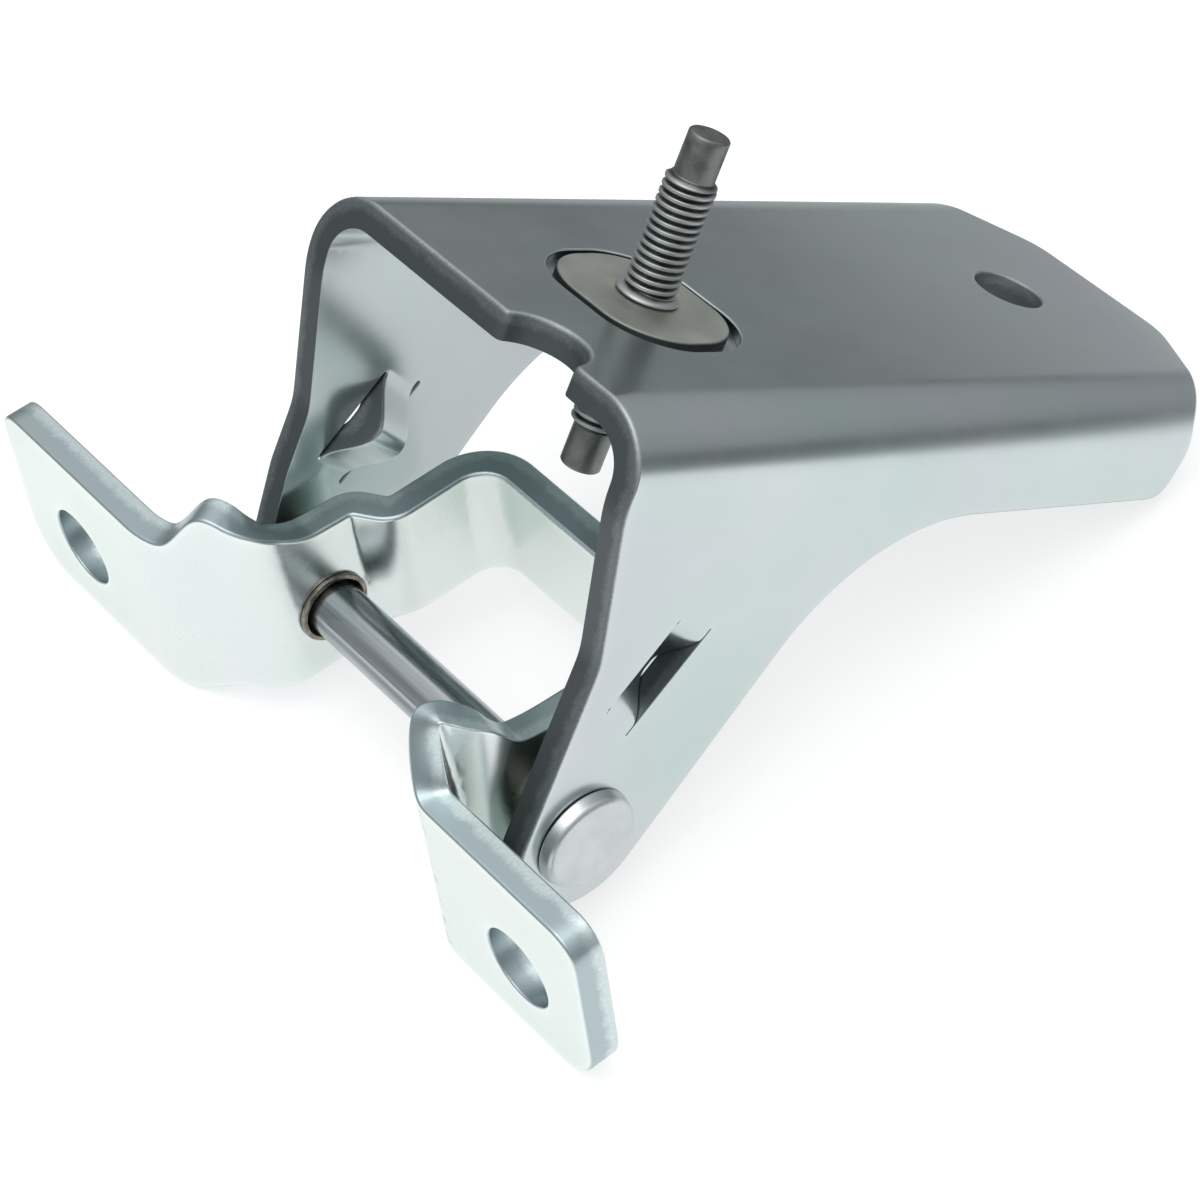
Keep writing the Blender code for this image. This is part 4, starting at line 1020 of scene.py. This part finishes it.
# local z of a turned piece lies along the pin
alongPin = Matrix.Rotation(-math.pi / 2, 4, 'X')
pin = {"radius": 4.5, "head": 7.5, "headBase": 8.2, "headHeight": 2.4, "rivet": 6.6, "rivetHeight": 1.8,
       "rivetTaper": 0.35, "seat": 36.37}
# shaftDark and shaftLight stand for drawing marks and for painted reflection streaks along the shaft
pinLook = {"shaftDark": (0.13, 0.15, 0.165, 1.0), "shaftLight": (0.52, 0.55, 0.57, 1.0),
           "head": (0.60, 0.63, 0.63, 1.0), "headCloud": (0.55, 0.58, 0.59, 1.0),
           "shaftRoughness": 0.16, "headRoughness": 0.3, "seam": 0.02, "lineScale": 420.0,
           "lineStretch": (1.0, 0.02, 1.0), "lineHeight": 1.2, "cloudScale": 260.0,
           "cloudRoughness": 0.05, "grainScale": 2600.0, "grain": 0.5}


def pinMaterial():
    # drawn shaft with lengthwise marks, whose dark and light streaks are partly drawing marks and partly a
    # painted reflection, plain pressed head
    material, tree, shader = startMaterial("pin_steel")
    height = markNode(tree, "through")
    shaft = mathNode(tree, 'LESS_THAN', mathNode(tree, 'ABSOLUTE', height), pin["seat"] - pinLook["seam"])
    lines = noiseNode(tree, pinLook["lineScale"], 3.0, pinLook["lineStretch"])
    marks = rampNode(tree, lines, [(0.36, 0.0), (0.66, 1.0)])
    drawnAndReflected = mixColour(tree, marks, pinLook["shaftDark"], pinLook["shaftLight"])
    clouds = cloudNode(tree, pinLook["cloudScale"], 3.0, 0.35, 0.65)
    pressed = mixColour(tree, clouds, pinLook["head"], pinLook["headCloud"])
    colour = mixColour(tree, shaft, pressed, drawnAndReflected)
    rough = mathNode(tree, 'MULTIPLY_ADD', shaft, pinLook["shaftRoughness"] - pinLook["headRoughness"],
                     pinLook["headRoughness"])
    rough = mathNode(tree, 'MULTIPLY_ADD', clouds, pinLook["cloudRoughness"], rough)
    fine = noiseNode(tree, pinLook["grainScale"], 2.0)
    finishMaterial(tree, shader, colour, rough,
                   addHeights(tree, lines, pinLook["lineHeight"], fine, pinLook["grain"]))
    return material


pinSteel = pinMaterial()
turnPiece("hinge_pin_turned", [
    (0.0, -pin["seat"] - pin["headHeight"], 0.0),
    (pin["head"], -pin["seat"] - pin["headHeight"], 1.2),
    (pin["headBase"], -pin["seat"], 0.25),
    (pin["radius"], -pin["seat"], 0.15),
    (pin["radius"], pin["seat"], 0.15),
    (pin["rivet"], pin["seat"], 0.2),
    (pin["rivet"] - pin["rivetTaper"], pin["seat"] + pin["rivetHeight"], 0.8),
    (0.0, pin["seat"] + pin["rivetHeight"], 0.0),
], leafPlace @ alongPin, "door_side", "hinge_pin", pinSteel)

bush = {"bore": 4.58, "outside": 5.33, "flange": 6.8, "lip": 5.95, "lipHeight": 0.7, "flare": 0.6,
        "armInside": 24.15, "armOutside": 29.15, "cheekInside": 31.75, "gap": 0.08}
# the bronze is darkened past its own tone as painted shade of the gap between arm and cheek
bronze = turnedMaterial("bush_bronze_gap_shaded", {
    "dark": (0.11, 0.095, 0.08, 1.0), "light": (0.40, 0.37, 0.32, 1.0), "cloudScale": 500.0,
    "streakScale": 1500.0, "streakStretch": (1.0, 1.0, 0.3), "roughness": 0.22, "roughnessSpread": 0.2,
    "grainScale": 2500.0, "grain": 1.0, "streakHeight": 1.0,
})
for side, sign in (("left", 1), ("right", -1)):
    face = bush["armInside"] - bush["gap"]
    corners = [
        (bush["bore"] + bush["flare"], face - bush["lipHeight"], 0.08),
        (bush["lip"], face - bush["lipHeight"], 0.28),
        (bush["lip"], face, 0.1),
        (bush["outside"], face, 0.1),
        (bush["outside"], bush["armOutside"] + bush["gap"], 0.1),
        (bush["flange"], bush["armOutside"] + bush["gap"], 0.3),
        (bush["flange"], bush["cheekInside"] - bush["gap"], 0.3),
        (bush["bore"], bush["cheekInside"] - bush["gap"], 0.1),
        (bush["bore"], face - bush["lipHeight"] + 2 * bush["flare"], 0.4),
    ]
    placed = [(radius, sign * height, rounding) for radius, height, rounding in corners]
    if sign < 0:
        placed.reverse()
    turnPiece(side + "_bush_ring", placed, strapPlace @ alongPin, "pillar_side", side + "_bush", bronze,
              closed=True)

# Stud with its thread
stud = {"place": (12.5, -0.2), "above": 25.5, "below": 28.2, "dog": 3.1, "dogLength": 6.6,
        "crest": 3.95, "root": 3.27, "pitch": 1.25, "collarHeight": 0.9, "gap": 0.12,
        "cone": 1.15, "rows": 0.09, "columns": 72,
        # radius and height from the dog's end, then from the collar's foot
        "dogEnd": [(0.0, 0.0), (1.4, 0.0), (2.55, 0.0), (2.9, 0.12), (3.1, 0.35)],
        "collar": [(3.37, -0.12), (4.65, -0.06), (4.8, 0.12), (4.78, 0.3), (4.6, 0.52), (4.25, 0.7),
                   (3.82, 0.87), (3.42, 0.95)],
        "dogRows": 6, "dogStart": 1.0, "seam": 0.05, "ridgeTop": 1.5, "ridgeSlope": 3.2,
        "belowCollar": 0.25, "aboveCollar": 0.12}
# root is painted shade in the thread's roots, crest a painted highlight on its crests
studLook = {"root": (0.075, 0.085, 0.085, 1.0), "crest": (0.46, 0.48, 0.47, 1.0),
            "dog": (0.17, 0.18, 0.175, 1.0), "dogLight": (0.27, 0.28, 0.27, 1.0), "roughness": 0.36,
            "cloudScale": 420.0, "cloudRoughness": 0.12, "cloudHeight": 2.0, "unevenness": 0.25,
            "grainScale": 2200.0, "grain": 3.0}


def studMaterial():
    # rolled thread with a painted highlight on its crests and painted shade in its roots, matt dogs
    material, tree, shader = startMaterial("stud_satin")
    rise = markNode(tree, "rim")
    threaded = markNode(tree, "through")
    clouds = cloudNode(tree, studLook["cloudScale"], 4.0, 0.34, 0.66)
    uneven = mathNode(tree, 'SUBTRACT', clouds, 0.5)
    # painted shade and highlight: darker towards the thread's roots, lighter towards its crests
    paintedLightMask = mathNode(tree, 'MULTIPLY_ADD', uneven, studLook["unevenness"], rise)
    climb = rampNode(tree, paintedLightMask, [(0.1, 0.0), (0.95, 1.0)])
    shadedRootsLitCrests = mixColour(tree, climb, studLook["root"], studLook["crest"])
    plain = mixColour(tree, clouds, studLook["dog"], studLook["dogLight"])
    colour = mixColour(tree, threaded, plain, shadedRootsLitCrests)
    rough = mathNode(tree, 'MULTIPLY_ADD', clouds, studLook["cloudRoughness"], studLook["roughness"])
    fine = noiseNode(tree, studLook["grainScale"], 2.0)
    finishMaterial(tree, shader, colour, rough,
                   addHeights(tree, fine, studLook["grain"], clouds, studLook["cloudHeight"]))
    return material


studSteel = studMaterial()


def threadRadius(height, angle, low, high):
    share = (height / stud["pitch"] - angle / math.tau) % 1.0
    ridge = np.clip(stud["ridgeTop"] - np.abs(share - 0.5) * stud["ridgeSlope"], 0.0, 1.0)
    ridge = ridge * ridge * (3 - 2 * ridge)
    radius = stud["root"] + (stud["crest"] - stud["root"]) * ridge
    fromEnd = np.minimum(height - low, high - height)
    return np.minimum(radius, stud["dog"] + fromEnd * stud["cone"])


def buildStud():
    tip, tail = leaf["height"] + stud["above"], leaf["height"] - stud["below"]
    lowEnd, highEnd = tail + stud["dogLength"], tip - stud["dogLength"]
    collarLow = leaf["height"] + stud["gap"]
    collarHigh = collarLow + stud["collarHeight"]
    dogLow = np.linspace(tail + stud["dogStart"], lowEnd - stud["seam"], stud["dogRows"])
    dogHigh = np.linspace(highEnd + stud["seam"], tip - stud["dogStart"], stud["dogRows"])
    # rows of (radius, height), where no radius means the thread
    rows = [(radius, tail + rise) for radius, rise in stud["dogEnd"]]
    rows += [(stud["dog"], height) for height in dogLow]
    rows += [(None, height) for height in np.arange(lowEnd, collarLow - stud["belowCollar"], stud["rows"])]
    rows += [(radius, collarLow + rise) for radius, rise in stud["collar"]]
    rows += [(None, height) for height in np.arange(collarHigh + stud["aboveCollar"], highEnd, stud["rows"])]
    rows += [(stud["dog"], height) for height in dogHigh]
    rows += [(radius, tip - rise) for radius, rise in reversed(stud["dogEnd"])]
    columns = stud["columns"]
    angles = np.arange(columns) * math.tau / columns
    points = []
    for radius, height in rows:
        if radius is None:
            ring = threadRadius(height, angles, lowEnd, highEnd)
        else:
            ring = np.full(columns, radius)
        points.append(np.column_stack((stud["place"][0] + ring * np.cos(angles),
                                       stud["place"][1] + ring * np.sin(angles), np.full(columns, height))))
    count = len(points)
    points = np.array(points)
    around = np.roll(points, -1, axis=1) - np.roll(points, 1, axis=1)
    climb = np.gradient(points, axis=0)
    normals = np.cross(around, climb)
    normals[0], normals[-1] = (0.0, 0.0, -1.0), (0.0, 0.0, 1.0)
    normals /= np.maximum(np.linalg.norm(normals, axis=2), 1e-9)[:, :, None]
    faces = []
    for row in range(1, count - 2):
        for column in range(columns):
            after = (column + 1) % columns
            faces.append([row * columns + column, row * columns + after, (row + 1) * columns + after,
                          (row + 1) * columns + column])
    flatPoints = points.reshape(-1, 3)
    flatNormals = normals.reshape(-1, 3)
    keep = np.concatenate((np.arange(0, 1), np.arange(columns, (count - 1) * columns + 1)))
    number = {int(old): new for new, old in enumerate(keep)}
    bottomHub, topHub = 0, (count - 1) * columns
    for column in range(columns):
        after = (column + 1) % columns
        faces.append([bottomHub, columns + after, columns + column])
        faces.append([topHub, (count - 2) * columns + column, (count - 2) * columns + after])
    faces = [[number[spot] for spot in face] for face in faces]
    marks = np.zeros((len(keep), 4))
    reach = np.linalg.norm(flatPoints[keep][:, :2] - np.array(stud["place"]), axis=1)
    # how far out towards the crest, which the material turns into painted shade and highlight
    marks[:, 3] = np.clip((reach - stud["root"]) / (stud["crest"] - stud["root"]), 0.0, 1.0)
    marks[:, 2] = (reach > stud["dog"] + stud["seam"]).astype(float)
    return meshPiece("mounting_stud_threaded", flatPoints[keep] * mm, flatNormals[keep], faces, marks,
                     leafPlace, "door_side", "mounting_stud", studSteel)


buildStud()

# Oval plate that the stud is pressed through
studPlate = {"place": (11.4, -0.7), "size": (22.8, 26.2), "corner": 10.2, "thickness": 1.5, "gap": 0.12,
             "hole": 3.97, "topEdge": 0.35, "bottomEdge": 0.15, "holeEdge": 0.1, "grid": (1.8, 1.6),
             "clear": 1.2}
# edge is the cut edge's colour, darkened with painted shade of the pocket gap
plateLook = {"dark": (0.46, 0.485, 0.44, 1.0), "light": (0.56, 0.585, 0.53, 1.0),
             "speck": (0.62, 0.63, 0.58, 1.0), "edge": (0.09, 0.1, 0.1, 1.0), "roughness": 0.42,
             "cloudScale": 160.0, "cloudRoughness": 0.12, "speckScale": 1500.0, "speckAmount": 0.5,
             "grainScale": 1400.0, "grain": 10.0, "waveScale": 200.0, "wave": 8.0}


def plateMaterial():
    # matt plate whose cut edge is dark: partly its own cut colour, partly painted shade of the pocket gap
    # round it
    material, tree, shader = startMaterial("plate_matt")
    clouds = cloudNode(tree, plateLook["cloudScale"], 4.0, 0.3, 0.7)
    colour = mixColour(tree, clouds, plateLook["dark"], plateLook["light"])
    specks = mathNode(tree, 'MULTIPLY', cloudNode(tree, plateLook["speckScale"], 2.0, 0.6, 0.75),
                      plateLook["speckAmount"])
    colour = mixColour(tree, specks, colour, plateLook["speck"])
    # painted shade: the cut edge takes the dark edge colour, for the shaded gap in the pocket
    colour = mixColour(tree, markNode(tree, "sheared"), colour, plateLook["edge"])
    rough = mathNode(tree, 'MULTIPLY_ADD', clouds, plateLook["cloudRoughness"], plateLook["roughness"])
    fine = noiseNode(tree, plateLook["grainScale"], 3.0)
    wave = noiseNode(tree, plateLook["waveScale"], 2.0)
    finishMaterial(tree, shader, colour, rough,
                   addHeights(tree, fine, plateLook["grain"], wave, plateLook["wave"]))
    return material


def buildStudPlate():
    blank = newBlank()
    thickness = studPlate["thickness"]
    oval = asBorder(ovalLoop(studPlate["place"], studPlate["size"], studPlate["corner"]))
    outer = addEdge(blank, oval, edgeProfile(studPlate["topEdge"], studPlate["bottomEdge"], 0.0, thickness))
    hole = addEdge(blank, asHole(circleLoop(leaf["studHole"], studPlate["hole"])),
                   edgeProfile(studPlate["holeEdge"], studPlate["holeEdge"], 0.0, thickness))
    middle, half = np.array(studPlate["place"]), np.array(studPlate["size"]) / 2
    grid = gridPoints(middle - half, middle + half, *studPlate["grid"])
    addFlat(blank, [outer[0], hole[0]], [(grid, studPlate["clear"])], 0.0, 1.0)
    addFlat(blank, [outer[1], hole[1]], [(grid, studPlate["clear"])], thickness, -1.0)
    level = leaf["height"] - studPlate["gap"]

    def lay(spots):
        return np.column_stack((spots[:, 0], spots[:, 1], level - spots[:, 2]))

    return foldBlank("stud_plate_oval", blank, lay, leafPlace, "door_side", "stud_plate", plateMaterial())


buildStudPlate()
print("all pieces built")


# Stage, light and camera

stage = {
    "floorRadius": 1.6,
    "floorLevel": -0.0002,
    "floorSteps": 96,
    # the paper is pale round the part and dims behind it: a painted pool of light
    "paper": (0.42, 0.43, 0.43, 1.0),
    "paintedDimPaper": (0.2, 0.21, 0.21, 1.0),
    "paperRoughness": 0.9,
    "glow": 0.7,
    "paintedDimGlow": 0.12,
    "paleReach": 0.22,
    "fadeReach": 0.36,
    # a painted reflection: the patch of floor in front of the part that glows only in the metal's reflections
    "reflectionGlowMiddle": (-0.14, -0.14, 0.0),
    "reflectionGlowReach": 0.24,
    "reflectionGlowEnd": 0.3,
    "horizon": (0.38, 0.395, 0.4, 1.0),
    "middle": (0.46, 0.48, 0.49, 1.0),
    "zenith": (1.0, 1.01, 1.02, 1.0),
    "middleHeight": 0.4,
    "zenithHeight": 0.9,
    "worldStrength": 1.0,
    "softbox": (-0.25, -0.1, 1.1),
    "softboxSize": (1.0, 1.0),
    "softboxPower": 4.0,
}


def buildFloor():
    # pale paper that ends softly in the dim studio behind it; its colour and glow are a painted pool of light
    # round the part
    steps = stage["floorSteps"]
    radius = stage["floorRadius"]
    spins = [math.tau * step / steps for step in range(steps)]
    ring = [(radius * math.cos(spin), radius * math.sin(spin), stage["floorLevel"]) for spin in spins]
    mesh = bpy.data.meshes.new("studio_floor")
    mesh.from_pydata(ring, [], [list(range(steps))])
    floor = addObject("studio_floor", mesh)
    material, tree, shader = startMaterial("floor_paper", 0.0)
    fromMiddle = addNode(tree, 'ShaderNodeVectorMath', operation='LENGTH')
    tree.links.new(addNode(tree, 'ShaderNodeTexCoord').outputs['Object'], fromMiddle.inputs[0])
    fade = rampNode(tree, fromMiddle.outputs['Value'],
                    [(stage["paleReach"], 0.0), (stage["fadeReach"], 1.0)])
    fromReflectionGlow = addNode(tree, 'ShaderNodeVectorMath', operation='DISTANCE')
    tree.links.new(addNode(tree, 'ShaderNodeTexCoord').outputs['Object'], fromReflectionGlow.inputs[0])
    fromReflectionGlow.inputs[1].default_value = stage["reflectionGlowMiddle"]
    sheet = rampNode(tree, fromReflectionGlow.outputs['Value'],
                     [(stage["reflectionGlowReach"], 1.0), (stage["reflectionGlowEnd"], 0.0)])
    # painted pool of light: the paper's colour darkens away from the part
    paper = mixColour(tree, fade, stage["paper"], stage["paintedDimPaper"])
    rays = addNode(tree, 'ShaderNodeLightPath').outputs
    # painted reflection: the metal shows the floor glowing in the patch in front of the part, and the dimmer
    # paper behind it
    mirrored = mathNode(tree, 'MAXIMUM', rays["Is Glossy Ray"], rays["Is Transmission Ray"])
    mirrored = mathNode(tree, 'MULTIPLY', mathNode(tree, 'MULTIPLY', mirrored, sheet), stage["glow"])
    # painted pool of light: the camera's glow fades to the dim glow away from the part
    glow = mathNode(tree, 'MULTIPLY_ADD', fade, stage["paintedDimGlow"] - stage["glow"], stage["glow"])
    seen = mathNode(tree, 'MULTIPLY', rays["Is Camera Ray"], glow)
    feed(tree, shader, Base_Color=paper, Roughness=stage["paperRoughness"], Specular_IOR_Level=0.0,
         Emission_Color=(1.0, 1.0, 1.0, 1.0), Emission_Strength=mathNode(tree, 'ADD', seen, mirrored))
    mesh.materials.append(material)


def buildWorld():
    world = bpy.data.worlds.new("studio_world")
    world.use_nodes = True
    tree = world.node_tree
    background = tree.nodes["Background"]
    way = addNode(tree, 'ShaderNodeSeparateXYZ')
    tree.links.new(addNode(tree, 'ShaderNodeTexCoord').outputs['Generated'], way.inputs[0])
    shade = rampNode(tree, way.outputs[2], [(0.0, stage["horizon"]), (stage["middleHeight"], stage["middle"]),
                                            (stage["zenithHeight"], stage["zenith"])])
    tree.links.new(shade, background.inputs["Color"])
    background.inputs["Strength"].default_value = stage["worldStrength"]
    scene.world = world


def addLamp(name, place, target, size, power):
    lamp = bpy.data.lights.new(name, 'AREA')
    lamp.shape = 'RECTANGLE'
    lamp.size, lamp.size_y = size
    lamp.energy = power
    holder = addObject(name, lamp)
    holder.location = place
    holder.rotation_euler = (Vector(target) - Vector(place)).to_track_quat('-Z', 'Y').to_euler()


buildFloor()
buildWorld()
addLamp("overhead_softbox", stage["softbox"], (0.0, 0.0, 0.0), stage["softboxSize"], stage["softboxPower"])

# the camera's place is measured from the pin, its turn in degrees
cameraSetup = {"offset": (-168.02, -311.9, 404.46), "turn": (41.602, 4.991, -39.497), "lens": 109.68,
               "sensor": 36.0, "shift": (-0.0466, 0.01227), "nearest": 0.01}
lens = bpy.data.cameras.new("photo_camera")
lens.lens = cameraSetup["lens"]
lens.sensor_width = cameraSetup["sensor"]
lens.sensor_fit = 'HORIZONTAL'
lens.shift_x, lens.shift_y = cameraSetup["shift"]
lens.clip_start = cameraSetup["nearest"]
camera = addObject("photo_camera", lens)
camera.location = pinPlace + Vector(cameraSetup["offset"]) * mm
camera.rotation_euler = Euler([math.radians(angle) for angle in cameraSetup["turn"]], 'XYZ')
scene.camera = camera
scene.view_settings.view_transform = 'Standard'
print("stage, lights and camera ready")
